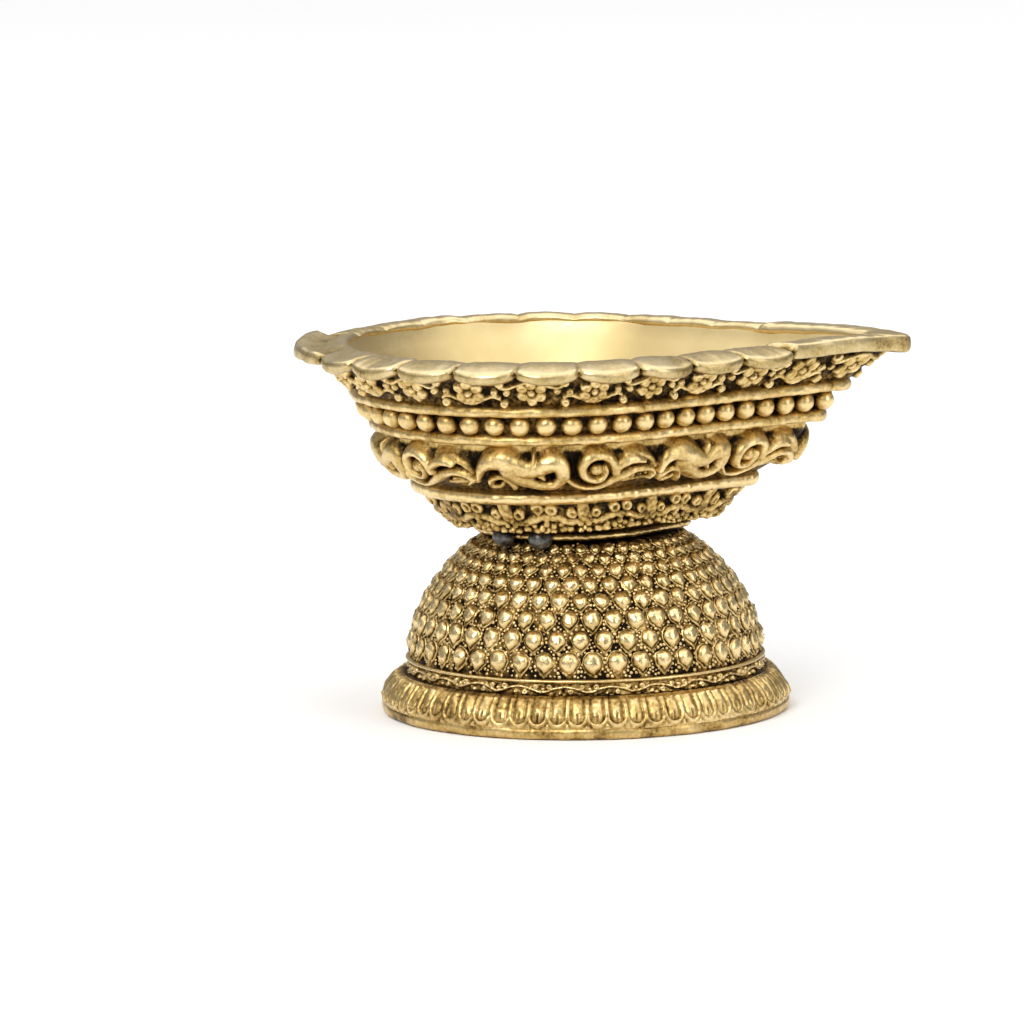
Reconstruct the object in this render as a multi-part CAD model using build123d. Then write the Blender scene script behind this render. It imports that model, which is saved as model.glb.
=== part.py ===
from build123d import *

# Butter lamp: a leaf-shaped brass bowl with a scalloped rim and a pointed spout, soldered to a studded dome foot.
# Millimetres. The origin is the middle of the foot on the floor, +Z is up and the spout points along +X.

import os
from collections import namedtuple
from math import acos, asin, atanh, degrees, hypot, pi, sqrt, tanh

# Base ring, on the floor
BASE_BAND = 1.2  # height of the plain band at the floor
BASE_HEIGHT = 4.5  # top of the ring
BASE_STEP = 0.8  # ledge from the dome out to the ring's top edge
BASE_SPREAD = 2.2  # from the ring's top edge out to the plain band
PETAL_WIDTH = 1.9
PETAL_GAP = 0.08  # between petals, at their upper ends
PETAL_RELIEF = 0.5

# Dome, standing on the base ring
DOME_RADIUS = 19.5  # at its foot
DOME_HEIGHT = 15.4  # from the base ring to its flat top
DOME_LEDGE = 1.05  # flat top that shows round the bowl's seat
DOME_WALL = 2.2
FILIGREE_HEIGHT = 1.3
FILIGREE_RELIEF = 0.45
DOME_WIRE = 0.6  # diameter of the wire below the studs

# Studs on the dome, in staggered rows
STUD_ROWS = 8
STUDS_PER_ROW = 45
STUD_RADIUS = 0.95  # in the lowest row; the rows above shrink with the dome
STUD_TAIL = 1.45  # from a stud's middle to its point, in the lowest row
STUD_RELIEF = 0.75
STUD_MARGIN = 0.2  # from the wire to the lowest row's points
STUD_CROWN = 0.5  # from the highest row's middles up to the dome's flat top

# Joint between the foot and the bowl
SEAM = 0.3  # thickness of the solder between them
SPIGOT_RADIUS = 3.0
SPIGOT_LENGTH = 2.6  # below the bowl
SPIGOT_PLAY = 0.05
TACK_RADIUS = 1.25
TACK_OUT = 1.0  # from the middle of the ring round the bowl's bottom out to the lumps' middles
TACK_RISE = 0.4  # from the dome's flat top up to the lumps' middles
TACK_ANGLES = (228.0, 252.0)  # around the ring's round back, from +X

# Bowl wall, as four leaf outlines: half width, and how far the back and the tip are drawn out beyond it
SEAT_HALF = 8.3
SEAT_BACK = 0.9
SEAT_TIP = 0.7
KNEE_RISE = 2.0  # from the seat up to where the underside turns into the wall
KNEE_HALF = 13.0
KNEE_BACK = 2.2
KNEE_TIP = 1.8
WAIST_HALF = 14.3
WAIST_BACK = 3.8
WAIST_TIP = 4.1
LIP_HALF = 22.8
LIP_BACK = 4.6
LIP_TIP = 10.2
NOSE_RADIUS = 1.5  # of each outline at the tip
BOWL_WALL = 2.0
BOWL_FLOOR = 2.6  # thickness of the bowl's bottom

# Rim
RIM_THICK = 1.3
RIM_LEDGE = 2.2  # from the bowl's wall to the notches between the lobes
RIM_DROOP = 0.5  # how far the lobes' outer edge lies below the top
LOBE_BULGE = 1.4
LOBES_PER_SIDE = 9
SPOUT_EDGE = 16.8  # length of the plain edge on each side of the tip
SPOUT_BULGE = 0.5
TAB_HALF = 9.5  # half the lobe opposite the spout, along the edge
TAB_BULGE = 2.2

# Ornament on the bowl
UNDER_BAND = 5.5  # height of the flowered underside, from the seat to the lower moulding
MOULDING = 1.2  # diameter of the three round mouldings
FOOT_RING = 0.8  # diameter of the ring round the bowl's bottom
BEAD = 2.1  # diameter
BEAD_GAP = 0.65
BEAD_LIFT = 0.5  # how far a bead's middle lies above the wall
BEAD_MARGIN = 0.05  # above and below the beads
SCROLL_HEAD = 2.35  # half the height of a scroll
SCROLL_REACH = 4.35  # half the length of a scroll
SCROLL_GAP = 0.6
SCROLL_RELIEF = 2.6
SCROLL_MARGIN = 0.57  # above and below the scrolls
FLOWER_RADIUS = 1.45
FLOWER_GAP = 3.7  # between the flowers under the rim
FLOWER_RELIEF = 0.6
FLOWER_MARGIN = 0.35  # above and below the flowers
LOWER_FLOWER_GAP = 5.2  # between the flowers on the underside

FILM = 0.03  # solder film between a piece of ornament and what it lies on

Leaf = namedtuple("Leaf", "height half back tip nose")


def drawn_leaf(height, half, back, tip):
    """A leaf outline from its half width and how far its two ends are drawn out."""
    return Leaf(height, half, half + back, half + tip, NOSE_RADIUS)


# Heights of the rows, stacked from the floor up
DOME_TOP = BASE_HEIGHT + DOME_HEIGHT
WIRE_HEIGHT = BASE_HEIGHT + FILIGREE_HEIGHT + DOME_WIRE / 2
SEAT_HEIGHT = DOME_TOP + SEAM
KNEE_HEIGHT = SEAT_HEIGHT + KNEE_RISE
WAIST_HEIGHT = SEAT_HEIGHT + UNDER_BAND
SCROLL_HEIGHT = WAIST_HEIGHT + MOULDING / 2 + SCROLL_MARGIN + SCROLL_HEAD
MIDDLE_HEIGHT = SCROLL_HEIGHT + SCROLL_HEAD + SCROLL_MARGIN + MOULDING / 2
BEAD_HEIGHT = MIDDLE_HEIGHT + MOULDING / 2 + BEAD_MARGIN + BEAD / 2
UPPER_HEIGHT = BEAD_HEIGHT + BEAD / 2 + BEAD_MARGIN + MOULDING / 2
FLOWER_HEIGHT = UPPER_HEIGHT + MOULDING / 2 + FLOWER_MARGIN + FLOWER_RADIUS
LIP_HEIGHT = FLOWER_HEIGHT + FLOWER_RADIUS + FLOWER_MARGIN
RIM_TOP = LIP_HEIGHT + RIM_THICK

SEAT = drawn_leaf(SEAT_HEIGHT, SEAT_HALF, SEAT_BACK, SEAT_TIP)
KNEE = drawn_leaf(KNEE_HEIGHT, KNEE_HALF, KNEE_BACK, KNEE_TIP)
WAIST = drawn_leaf(WAIST_HEIGHT, WAIST_HALF, WAIST_BACK, WAIST_TIP)
LIP = drawn_leaf(LIP_HEIGHT, LIP_HALF, LIP_BACK, LIP_TIP)

# Radii of the foot
DOME_TOP_RADIUS = max(SEAT.back, SEAT.tip) + DOME_LEDGE
DOME_RISE = DOME_HEIGHT / sqrt(1 - (DOME_TOP_RADIUS / DOME_RADIUS) ** 2)  # height of the whole half egg
BASE_TOP_RADIUS = DOME_RADIUS + BASE_STEP
BASE_RADIUS = BASE_TOP_RADIUS + BASE_SPREAD


def between(low, high, height):
    """The leaf outline at a height, in a straight line between two others."""
    share = (height - low.height) / (high.height - low.height)
    return Leaf(*(a + (b - a) * share for a, b in zip(low, high)))


def ground(height):
    """Outline of the bowl's wall at a height."""
    if height < KNEE_HEIGHT:
        return between(SEAT, KNEE, height)
    return between(KNEE, WAIST, height) if height < WAIST_HEIGHT else between(WAIST, LIP, height)


def grown(leaf, distance):
    """A leaf outline moved outwards all round, at the same height."""
    return Leaf(leaf.height, *(span + distance for span in leaf[1:]))


def shrunk(leaf, distance):
    """A leaf outline moved inwards, with the same nose."""
    return grown(leaf, -distance)._replace(nose=leaf.nose)


def outline(leaf):
    """Closed wire of a leaf, from its tip at +X round by +Y: a small nose, straight sides and a round back."""
    middle = leaf.half - leaf.back
    nose = leaf.tip - leaf.nose
    turn = degrees(acos((leaf.half - leaf.nose) / (nose - middle)))
    leaving = CenterArc((nose, 0), leaf.nose, 0, turn)
    back = CenterArc((middle, 0), leaf.half, turn, 360 - 2 * turn)
    coming = CenterArc((nose, 0), leaf.nose, -turn, turn)
    edges = [leaving, Line(leaving @ 1, back @ 0), back, Line(back @ 1, coming @ 0), coming]
    return Pos(0, 0, leaf.height) * Wire(edges)


def stack(leaves):
    """Solid with straight flanks through leaf outlines, lowest first."""
    return loft([make_face(outline(leaf)) for leaf in leaves], ruled=True)


def wall_plane(height, fraction):
    """Plane on the bowl's wall: x along the outline, y up the wall and z outwards."""
    low = outline(ground(height - 0.5))
    high = outline(ground(height + 0.5))
    along = low.tangent_at(fraction) + high.tangent_at(fraction)
    rise = high.position_at(fraction) - low.position_at(fraction)
    middle = (high.position_at(fraction) + low.position_at(fraction)) / 2
    return Plane(middle, x_dir=along, z_dir=along.cross(rise)).offset(FILM)


def wall_planes(height, pitch):
    """Planes along the wall for as many evenly spaced copies as the pitch allows."""
    count = int(outline(ground(height)).length / pitch)
    return [wall_plane(height, (index + 0.5) / count) for index in range(count)]


def stood_on(planes, solid):
    """Copies of one solid, each standing on its own plane."""
    return Compound([plane.location * solid for plane in planes])


# Foot


def egg_side(radius, rise, height):
    """Side of a half egg that stands on the base ring, from its foot to a height above the ring."""
    arc = CenterArc((0, 0), radius, 0, degrees(asin(height / rise)))
    return Pos(0, BASE_HEIGHT) * scale(arc, (1, rise / radius, 1))


def dome_radius(height):
    """Radius of the dome's outside at a height above the floor."""
    return DOME_RADIUS * sqrt(1 - ((height - BASE_HEIGHT) / DOME_RISE) ** 2)


def dome_plane(height, angle):
    """Plane on the dome: x round it, y up it and z outwards."""
    radius = dome_radius(height)
    outwards = (radius / DOME_RADIUS**2, 0, (height - BASE_HEIGHT) / DOME_RISE**2)
    spot = Plane((radius, 0, height), x_dir=(0, 1, 0), z_dir=outwards).offset(FILM)
    return Plane(Rot(0, 0, angle) * spot.location)


def dome_shell():
    """Hollow half egg with a flat top, and a socket through the top for the bowl's spigot."""
    outside = egg_side(DOME_RADIUS, DOME_RISE, DOME_HEIGHT)
    inside = egg_side(DOME_RADIUS - DOME_WALL, DOME_RISE - DOME_WALL, DOME_HEIGHT - DOME_WALL)
    socket = SPIGOT_RADIUS + SPIGOT_PLAY
    top = Polyline(outside @ 1, (socket, DOME_TOP), (socket, DOME_TOP - DOME_WALL), inside @ 1)
    section = make_face([outside, *top.edges(), inside, Line(inside @ 0, outside @ 0)])
    return revolve(Plane.XZ * section, Axis.Z)


def base_ring():
    inner = DOME_RADIUS - DOME_WALL
    section = Polyline(
        (inner, 0),
        (BASE_RADIUS, 0),
        (BASE_RADIUS, BASE_BAND),
        (BASE_TOP_RADIUS, BASE_HEIGHT),
        (inner, BASE_HEIGHT),
        close=True,
    )
    return revolve(Plane.XZ * make_face(section), Axis.Z)


def base_petals():
    """Tongues side by side on the base ring's slope, their round ends down."""
    rise = BASE_HEIGHT - BASE_BAND
    slope = Plane((BASE_TOP_RADIUS, 0, BASE_HEIGHT), x_dir=(0, 1, 0), z_dir=(rise, 0, BASE_SPREAD)).offset(FILM)
    half = PETAL_WIDTH / 2
    straight = half - hypot(rise, BASE_SPREAD)
    sides = Polyline((half, straight), (half, 0), (-half, 0), (-half, straight))
    end = ThreePointArc((-half, straight), (0, straight - half), (half, straight))
    petal = extrude(make_face([*sides.edges(), end]), PETAL_RELIEF, taper=20)
    count = int(2 * pi * BASE_TOP_RADIUS / (PETAL_WIDTH + PETAL_GAP))
    turns = [Rot(0, 0, 360 * index / count) for index in range(count)]
    return stood_on([Plane(turn * slope.location) for turn in turns], petal)


def filigree_band():
    inner = DOME_RADIUS + FILM
    ring = Cylinder(inner + FILIGREE_RELIEF, FILIGREE_HEIGHT) - Cylinder(inner, FILIGREE_HEIGHT)
    return Pos(0, 0, BASE_HEIGHT + FILIGREE_HEIGHT / 2) * ring


def dome_wire():
    resting_radius = dome_radius(WIRE_HEIGHT - DOME_WIRE / 2) + DOME_WIRE / 2 + FILM
    return Pos(0, 0, WIRE_HEIGHT) * Torus(resting_radius, DOME_WIRE / 2)


def drop(radius, tail):
    """Face of a round drop, its point at -y."""
    turn = degrees(acos(radius / tail))
    arc = CenterArc((0, 0), radius, turn - 90, 360 - 2 * turn)
    return make_face([arc, Line(arc @ 1, (0, -tail)), Line((0, -tail), arc @ 0)])


def stud_row(height, turn):
    """One row of drop-shaped studs at a height, as much smaller as the dome is narrower there."""
    share = dome_radius(height) / DOME_RADIUS
    stud = extrude(drop(STUD_RADIUS * share, STUD_TAIL * share), STUD_RELIEF * share, taper=25)
    step = 360 / STUDS_PER_ROW
    return stood_on([dome_plane(height, step * (index + turn)) for index in range(STUDS_PER_ROW)], stud)


def stud_rows():
    """Rows of studs from the wire to the dome's top, closer as the dome narrows, each half a step round."""
    lowest = WIRE_HEIGHT + DOME_WIRE / 2 + STUD_MARGIN + STUD_TAIL
    highest = DOME_TOP - STUD_CROWN
    start, end = (atanh((height - BASE_HEIGHT) / DOME_RISE) for height in (lowest, highest))
    step = (end - start) / (STUD_ROWS - 1)
    heights = [BASE_HEIGHT + DOME_RISE * tanh(start + step * index) for index in range(STUD_ROWS)]
    return [stud_row(height, index / 2) for index, height in enumerate(heights)]


# Joint between the foot and the bowl


def solder_seam():
    hole = Pos(0, 0, DOME_TOP) * Cylinder(SPIGOT_RADIUS + SPIGOT_PLAY, 4 * SEAM)
    return extrude(make_face(outline(SEAT)), -SEAM) - hole


def stud_crowns():
    """Solid half egg up to the crowns of the highest studs."""
    crown = STUD_RELIEF * dome_radius(DOME_TOP - STUD_CROWN) / DOME_RADIUS + 2 * FILM
    side = egg_side(DOME_RADIUS + crown, DOME_RISE + crown, DOME_RISE + crown)
    middle = (0, BASE_HEIGHT)
    section = make_face([side, Line(side @ 1, middle), Line(middle, side @ 0)])
    return revolve(Plane.XZ * section, Axis.Z)


def solder_tacks(neighbours):
    """Lumps of solder on the highest studs, against the bowl's bottom."""
    ring = foot_ring_path()
    lumps = []
    for angle in TACK_ANGLES:
        spot = Pos(ring.half + TACK_OUT, 0, DOME_TOP + TACK_RISE)
        lump = Pos(ring.half - ring.back, 0) * Rot(0, 0, angle) * spot * Sphere(TACK_RADIUS)
        for neighbour in neighbours:
            lump = lump - neighbour
        lumps.append(lump.solids().sort_by(SortBy.VOLUME)[-1])
    return Compound(lumps)


# Bowl

SCROLL_LOW = SCROLL_HEIGHT - SCROLL_HEAD
SCROLL_HIGH = SCROLL_HEIGHT + SCROLL_HEAD


def bowl_hollow():
    """The space inside the bowl, up through the rim."""
    low = shrunk(ground(SEAT_HEIGHT + BOWL_FLOOR), 2 * BOWL_WALL)
    knee = shrunk(ground(WAIST_HEIGHT + BOWL_FLOOR), 1.2 * BOWL_WALL)
    mouth = shrunk(LIP, BOWL_WALL)
    return stack([low, knee, mouth, shrunk(LIP, 0.75 * BOWL_WALL)._replace(height=RIM_TOP)])


def bowl_shell(hollow):
    levels = (SCROLL_LOW, SCROLL_HIGH, MIDDLE_HEIGHT, BEAD_HEIGHT, UPPER_HEIGHT, FLOWER_HEIGHT)
    wall = stack([SEAT, KNEE, WAIST, *[ground(level) for level in levels], LIP])
    spigot = Pos(0, 0, SEAT_HEIGHT) * Cylinder(SPIGOT_RADIUS, 2 * SPIGOT_LENGTH)
    return wall + spigot - hollow


def lobe_arc(edge, start, end, bulge):
    """Arc between two places on the rim's edge that swells outwards from it."""
    middle = (start + end) / 2
    along = edge.tangent_at(middle)
    outwards = Vector(along.Y, -along.X)
    return ThreePointArc(edge.position_at(start), edge.position_at(middle) + outwards * bulge, edge.position_at(end))


def rim_face():
    """The rim seen from above: a plain pointed spout, lobes along both sides and a wider lobe at the back."""
    edge = outline(grown(LIP, RIM_LEDGE)._replace(height=0))
    first = SPOUT_EDGE / edge.length
    last = 0.5 - TAB_HALF / edge.length
    step = (last - first) / LOBES_PER_SIDE
    cusps = [first + step * index for index in range(LOBES_PER_SIDE + 1)]
    pairs = list(zip(cusps, cusps[1:]))
    tip = LIP.tip + RIM_LEDGE + LOBE_BULGE
    front = Vector(tip - NOSE_RADIUS, -NOSE_RADIUS)
    rear = Vector(tip - NOSE_RADIUS, NOSE_RADIUS)
    shore = edge.position_at(first)
    swell = (shore + rear) / 2 + (shore - rear).normalized().rotate(Axis.Z, -90) * SPOUT_BULGE
    spout = ThreePointArc(rear, swell, shore)
    nose = ThreePointArc(front, (tip, 0), rear)
    tab = lobe_arc(edge, last, 1 - last, TAB_BULGE)
    there = [lobe_arc(edge, start, end, LOBE_BULGE) for start, end in pairs]
    home = [lobe_arc(edge, 1 - end, 1 - start, LOBE_BULGE) for start, end in reversed(pairs)]
    return make_face([nose, spout, *there, tab, *home, spout.mirror(Plane.XZ)])


def scalloped_rim(hollow):
    """Flat rim whose lobes droop towards their outer edge."""
    plate = Pos(0, 0, LIP_HEIGHT) * extrude(rim_face(), RIM_THICK)
    crest = grown(LIP, RIM_LEDGE)._replace(height=RIM_TOP)
    foot = grown(LIP, RIM_LEDGE + RIM_THICK * LOBE_BULGE / RIM_DROOP)
    return (plate & stack([foot, crest])) - hollow


def resting(height, diameter, low, high):
    """Outline for the middle of a round wire that rests on the leaning wall between two outlines."""
    wall = between(low, high, height)
    rise = high.height - low.height
    reach = diameter / 2 + FILM
    lean = [hypot(rise, top - bottom) / rise for bottom, top in zip(low[1:4], high[1:4])]
    lean.append(lean[0])
    return Leaf(height, *(span + reach * factor for span, factor in zip(wall[1:], lean)))


def wire_along(leaf, diameter):
    """Round wire bent along a leaf outline."""
    path = outline(leaf)
    return sweep(Plane(path @ 0, z_dir=path % 0) * Circle(diameter / 2), path=path)


def moulding(height):
    """Round moulding that touches the wall at a height."""
    rise = LIP_HEIGHT - WAIST_HEIGHT
    run = LIP_HALF - WAIST_HALF
    middle = height - MOULDING / 2 * run / hypot(rise, run)
    return wire_along(resting(middle, MOULDING, WAIST, LIP), MOULDING)


def foot_ring_path():
    """Outline of the middle of the ring round the bowl's bottom."""
    return resting(SEAT_HEIGHT + FOOT_RING / 2, FOOT_RING, SEAT, KNEE)


def bead_row():
    """Balls flattened where they lie on the wall, between the upper and the middle moulding."""
    ball = Pos(0, 0, BEAD_LIFT) * Sphere(BEAD / 2)
    bead = ball & Pos(0, 0, BEAD / 2 + BEAD_LIFT) * Box(BEAD, BEAD, BEAD + 2 * BEAD_LIFT)
    return stood_on(wall_planes(BEAD_HEIGHT, BEAD + BEAD_GAP), bead)


def flower():
    """Six round petals about a raised middle."""
    petal = FLOWER_RADIUS * 0.36
    ring = PolarLocations(FLOWER_RADIUS - petal, 6) * Circle(petal)
    blossom = extrude(Sketch() + [Circle(FLOWER_RADIUS * 0.5), *ring], FLOWER_RELIEF)
    return blossom + extrude(Circle(FLOWER_RADIUS * 0.3), FLOWER_RELIEF * 1.5, taper=15)


def upper_flowers():
    return stood_on(wall_planes(FLOWER_HEIGHT, 2 * FLOWER_RADIUS + FLOWER_GAP), flower())


def lower_flowers():
    height = (SEAT_HEIGHT + FOOT_RING + WAIST_HEIGHT) / 2
    return stood_on(wall_planes(height, 2 * FLOWER_RADIUS + LOWER_FLOWER_GAP), flower())


def at(x, y):
    """Point on a scroll, in shares of its half length and half height."""
    return (x * SCROLL_REACH, y * SCROLL_HEAD)


def volute():
    """Scroll with a large round curl, drawn out into an arched leaf."""
    middle = SCROLL_HEAD - SCROLL_REACH
    root = (middle + 0.8 * SCROLL_HEAD, 0.2 * SCROLL_HEAD)
    foot = (middle + 0.5 * SCROLL_HEAD, -0.66 * SCROLL_HEAD)
    outer = ThreePointArc(root, at(0.6, 0.75), at(1, -0.35))
    tip = ThreePointArc(at(1, -0.35), at(0.9, -0.75), at(0.66, -0.5))
    inner = ThreePointArc(at(0.66, -0.5), at(0.4, -0.15), foot)
    leaf = make_face([outer, tip, inner, Line(foot, root)])
    ring = Circle(SCROLL_HEAD) - Circle(0.66 * SCROLL_HEAD)
    return Pos(middle, 0) * ring + leaf + Pos(middle, 0) * Circle(0.42 * SCROLL_HEAD)


def wave():
    """Scroll that arches over a small curl and ends in a second curl with a drawn-out eye."""
    crest = ThreePointArc(at(-1, -0.5), at(-0.5, 0.95), at(0.3, 0.3))
    second = ThreePointArc(at(0.3, 0.3), at(0.72, 0.9), at(1, 0))
    end = ThreePointArc(at(1, 0), at(0.95, -0.65), at(0.75, -0.95))
    belly = ThreePointArc(at(0.75, -0.95), at(0.25, -0.8), at(-0.25, -0.95))
    under = ThreePointArc(at(-0.25, -0.95), at(-0.52, 0.15), at(-0.82, -0.5))
    body = make_face([crest, second, end, belly, under, Line(at(-0.82, -0.5), at(-1, -0.5))])
    brow = ThreePointArc(at(0, 0), at(0.35, -0.3), at(0.58, 0.1))
    cheek = ThreePointArc(at(0.58, 0.1), at(0.74, -0.2), at(0.58, -0.5))
    slit = ThreePointArc(at(0.58, -0.5), at(0.28, -0.5), at(0, 0))
    return body - make_face([brow, cheek, slit]) + Pos(*at(-0.54, -0.58)) * Circle(0.36 * SCROLL_HEAD)


def scroll_band():
    """Scrolls that follow the wall between the lower and the middle moulding, of two kinds in turn."""
    low = ground(SCROLL_LOW)
    high = ground(SCROLL_HIGH)
    skin = stack([grown(low, SCROLL_RELIEF), grown(high, SCROLL_RELIEF)])
    skin -= stack([grown(low, FILM), grown(high, FILM)])
    blocks = [Pos(0, 0, -SCROLL_RELIEF) * extrude(face, 4 * SCROLL_RELIEF) for face in (wave(), volute())]
    scrolls = []
    for index, plane in enumerate(wall_planes(SCROLL_HEIGHT, 2 * SCROLL_REACH + SCROLL_GAP)):
        scrolls += (plane.location * blocks[index % 2] & skin).solids()
    return Compound(scrolls)


def build():
    hollow = bowl_hollow()
    nodes = {
        "base_ring": base_ring(),
        "base_petals": base_petals(),
        "filigree_band": filigree_band(),
        "dome_wire": dome_wire(),
        "dome_shell": dome_shell(),
        "bowl_shell": bowl_shell(hollow),
        "scalloped_rim": scalloped_rim(hollow),
        "bowl_foot_ring": wire_along(foot_ring_path(), FOOT_RING),
        "lower_moulding": moulding(WAIST_HEIGHT),
        "middle_moulding": moulding(MIDDLE_HEIGHT),
        "upper_moulding": moulding(UPPER_HEIGHT),
        "bead_row": bead_row(),
        "upper_flowers": upper_flowers(),
        "lower_flowers": lower_flowers(),
        "scroll_band": scroll_band(),
        "solder_seam": solder_seam(),
    }
    nodes.update({f"stud_row_{number}": row for number, row in enumerate(stud_rows(), 1)})
    nodes["solder_tacks"] = solder_tacks([stud_crowns(), nodes["bowl_shell"], nodes["bowl_foot_ring"]])
    return nodes


os.makedirs("parts", exist_ok=True)
for name, shape in build().items():
    export_step(shape, f"parts/{name}.step")
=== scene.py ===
from math import acos, atanh, cos, hypot, pi, radians, sin, sqrt, tanh, tau

import bpy
import numpy as np
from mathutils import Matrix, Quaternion, Vector


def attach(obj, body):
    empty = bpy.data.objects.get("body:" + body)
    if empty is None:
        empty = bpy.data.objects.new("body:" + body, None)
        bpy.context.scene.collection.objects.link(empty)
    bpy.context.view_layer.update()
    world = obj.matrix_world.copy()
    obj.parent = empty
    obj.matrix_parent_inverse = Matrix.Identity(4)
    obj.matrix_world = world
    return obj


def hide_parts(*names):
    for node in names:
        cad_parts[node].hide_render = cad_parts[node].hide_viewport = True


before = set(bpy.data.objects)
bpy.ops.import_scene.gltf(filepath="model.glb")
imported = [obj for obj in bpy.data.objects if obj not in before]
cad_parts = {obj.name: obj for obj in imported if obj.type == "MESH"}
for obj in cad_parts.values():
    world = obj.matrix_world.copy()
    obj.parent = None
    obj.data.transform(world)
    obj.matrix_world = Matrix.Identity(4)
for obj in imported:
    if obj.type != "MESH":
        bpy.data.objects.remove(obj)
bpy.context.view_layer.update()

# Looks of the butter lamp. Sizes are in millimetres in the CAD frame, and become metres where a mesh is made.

MM = 0.001

# Foot, as in the CAD source
BASE_BAND = 1.2
BASE_HEIGHT = 4.5
BASE_RADIUS = 22.5
BASE_TOP_RADIUS = 20.3
BASE_INNER = 17.3
BASE_BULGE = 0.4
PETALS = 64
DOME_RADIUS = 19.5
DOME_RISE = 18.1026
DOME_TOP = 19.9
DOME_WALL = 2.2
DOME_STEPS = 60  # rings of points up the dome's outside
SOCKET_RADIUS = 3.05
FILIGREE_CELLS = 24
WIRE_HEIGHT = 6.1
WIRE_RADIUS = 0.3
STUD_ROWS = 8
STUDS_PER_ROW = 45
LOWEST_STUDS = 8.05
HIGHEST_STUDS = 19.4
TACK_ANGLES = (228.0, 252.0)
TACK_RADIUS = 1.36
TACK_OUT = 1.0
TACK_HEIGHT = 20.55

# Bowl wall: leaf outlines as height, half width, reach of the back, reach of the tip and radius of the nose
NOSE = 1.5
SEAT = (20.2, 8.3, 9.2, 9.0, NOSE)
KNEE = (22.2, 13.0, 15.2, 14.8, NOSE)
WAIST = (25.7, 14.3, 18.1, 18.4, NOSE)
LIP = (40.34, 22.8, 27.4, 33.0, NOSE)
MOUTH = (41.0, 21.3, 25.9, 31.5, NOSE)
RIM_EDGE = (41.0, 25.0, 29.6, 36.5, NOSE)
FOOT_RING = (20.6, 10.1, 11.5, 11.2, NOSE)
WALL_LEAN = np.arctan2(LIP[1] - WAIST[1], LIP[0] - WAIST[0])

# Bowl: heights, and the wall's thickness at three heights of its inside
BOWL_FLOOR = 22.8
INSIDE_BEND = 28.3
INSIDE_WALL = ((BOWL_FLOOR, 4.0), (INSIDE_BEND, 2.4), (LIP[0], 2.0))
SOFT_BEND = 1.2
FLOOR_ROUND = 0.9
LIP_FLARE = 0.4
RIM_TOP = 41.64
LOWER_BAND = (21.45, 25.3)
LOWER_MOULDING = 25.75
SCROLL_BAND = (25.95, 32.35)
MIDDLE_MOULDING = 32.74
BEAD_HEIGHT = 34.44
UPPER_MOULDING = 36.14
UPPER_BAND = (36.2, LIP[0] + 0.1)
MOULDING_REACH = 1.15
FOOT_RING_REACH = 0.75
BEAD_RADIUS = 1.2
BEAD_OUT = 0.25
BEADS = 49
FLOWERS = 23
LOWER_FLOWERS = 11
SCROLLS = 12

# Rim edge: places along it from the tip
FIRST_NOTCH = 17.4
LAST_NOTCH = 79.6
LOBES = 9
LOBE_BULGE = 1.4
TAB_BULGE = 2.15


# Outlines


def round_shares(count):
    """Even shares of one way round, from 0."""
    return np.arange(count) / count


def wall_leaf(z):
    """Leaf outline of the bowl's wall at a height."""
    low, high = WAIST, LIP
    if z < WAIST[0]:
        low, high = (SEAT, KNEE) if z < KNEE[0] else (KNEE, WAIST)
    share = (z - low[0]) / (high[0] - low[0])
    return tuple(a + (b - a) * share for a, b in zip(low, high))


def inside_leaf(z):
    """Leaf outline of the bowl's inside at a height: two straight flanks with a soft bend between them."""
    low, bend, mouth = (
        (level, *[span - wall for span in wall_leaf(level)[1:4]]) for level, wall in INSIDE_WALL
    )
    leaves = []
    for level in (z - SOFT_BEND, z, z + SOFT_BEND):
        first, last = (low, bend) if level < INSIDE_BEND else (bend, mouth)
        share = (level - first[0]) / (last[0] - first[0])
        leaves.append([a + (b - a) * share for a, b in zip(first, last)])
    return (*np.mean(leaves, axis=0), NOSE)


def leaf_length(leaf):
    """Length once round a leaf outline."""
    _, half, back, tip, nose = leaf
    span = tip - nose - half + back
    turn = acos((half - nose) / span)
    return 2 * (nose * turn + span * sin(turn) + half * (pi - turn))


def leaf_edge(leaf, shares):
    """Points and outward directions at shares of a leaf outline's length, from its tip round by +Y."""
    z, half, back, tip, nose = leaf
    middle, nose_x = half - back, tip - nose
    turn = acos((half - nose) / (nose_x - middle))
    straight = (nose_x - middle) * sin(turn)
    bend = nose * turn
    total = leaf_length(leaf)
    run = np.mod(shares, 1.0) * total
    side = np.where(run > total / 2, -1.0, 1.0)
    run = np.minimum(run, total - run)
    round_back = run > bend + straight
    angle = np.where(run < bend, run / nose, turn)
    angle = np.where(round_back, turn + (run - bend - straight) / half, angle)
    along = np.clip(run - bend, 0, straight)
    x = np.where(round_back, middle + half * np.cos(angle), nose_x + nose * np.cos(angle) - along * sin(turn))
    y = np.where(round_back, half * np.sin(angle), nose * np.sin(angle) + along * cos(turn))
    points = np.stack([x, side * y, np.full_like(run, z)], axis=-1)
    outwards = np.stack([np.cos(angle), side * np.sin(angle), np.zeros_like(run)], axis=-1)
    return points, outwards


def ring_edge(radius, z, shares):
    """Points of a level circle at shares of a turn from +X."""
    angle = tau * shares
    return np.stack([radius * np.cos(angle), radius * np.sin(angle), np.full_like(angle, z)], axis=-1)


def dome_radius(z):
    """Radius of the dome's outside at a height."""
    return DOME_RADIUS * np.sqrt(1 - ((z - BASE_HEIGHT) / DOME_RISE) ** 2)


# Drawing of relief on flat cells, heights in millimetres


def mottle(rows, columns, size, seed):
    """Soft random field that joins at its ends, of mean 0 and spread 1; size in grid steps."""
    grain = np.random.default_rng(seed).standard_normal((rows, columns))
    soft = blurred(grain, size)
    return (soft - soft.mean()) / soft.std()


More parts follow.
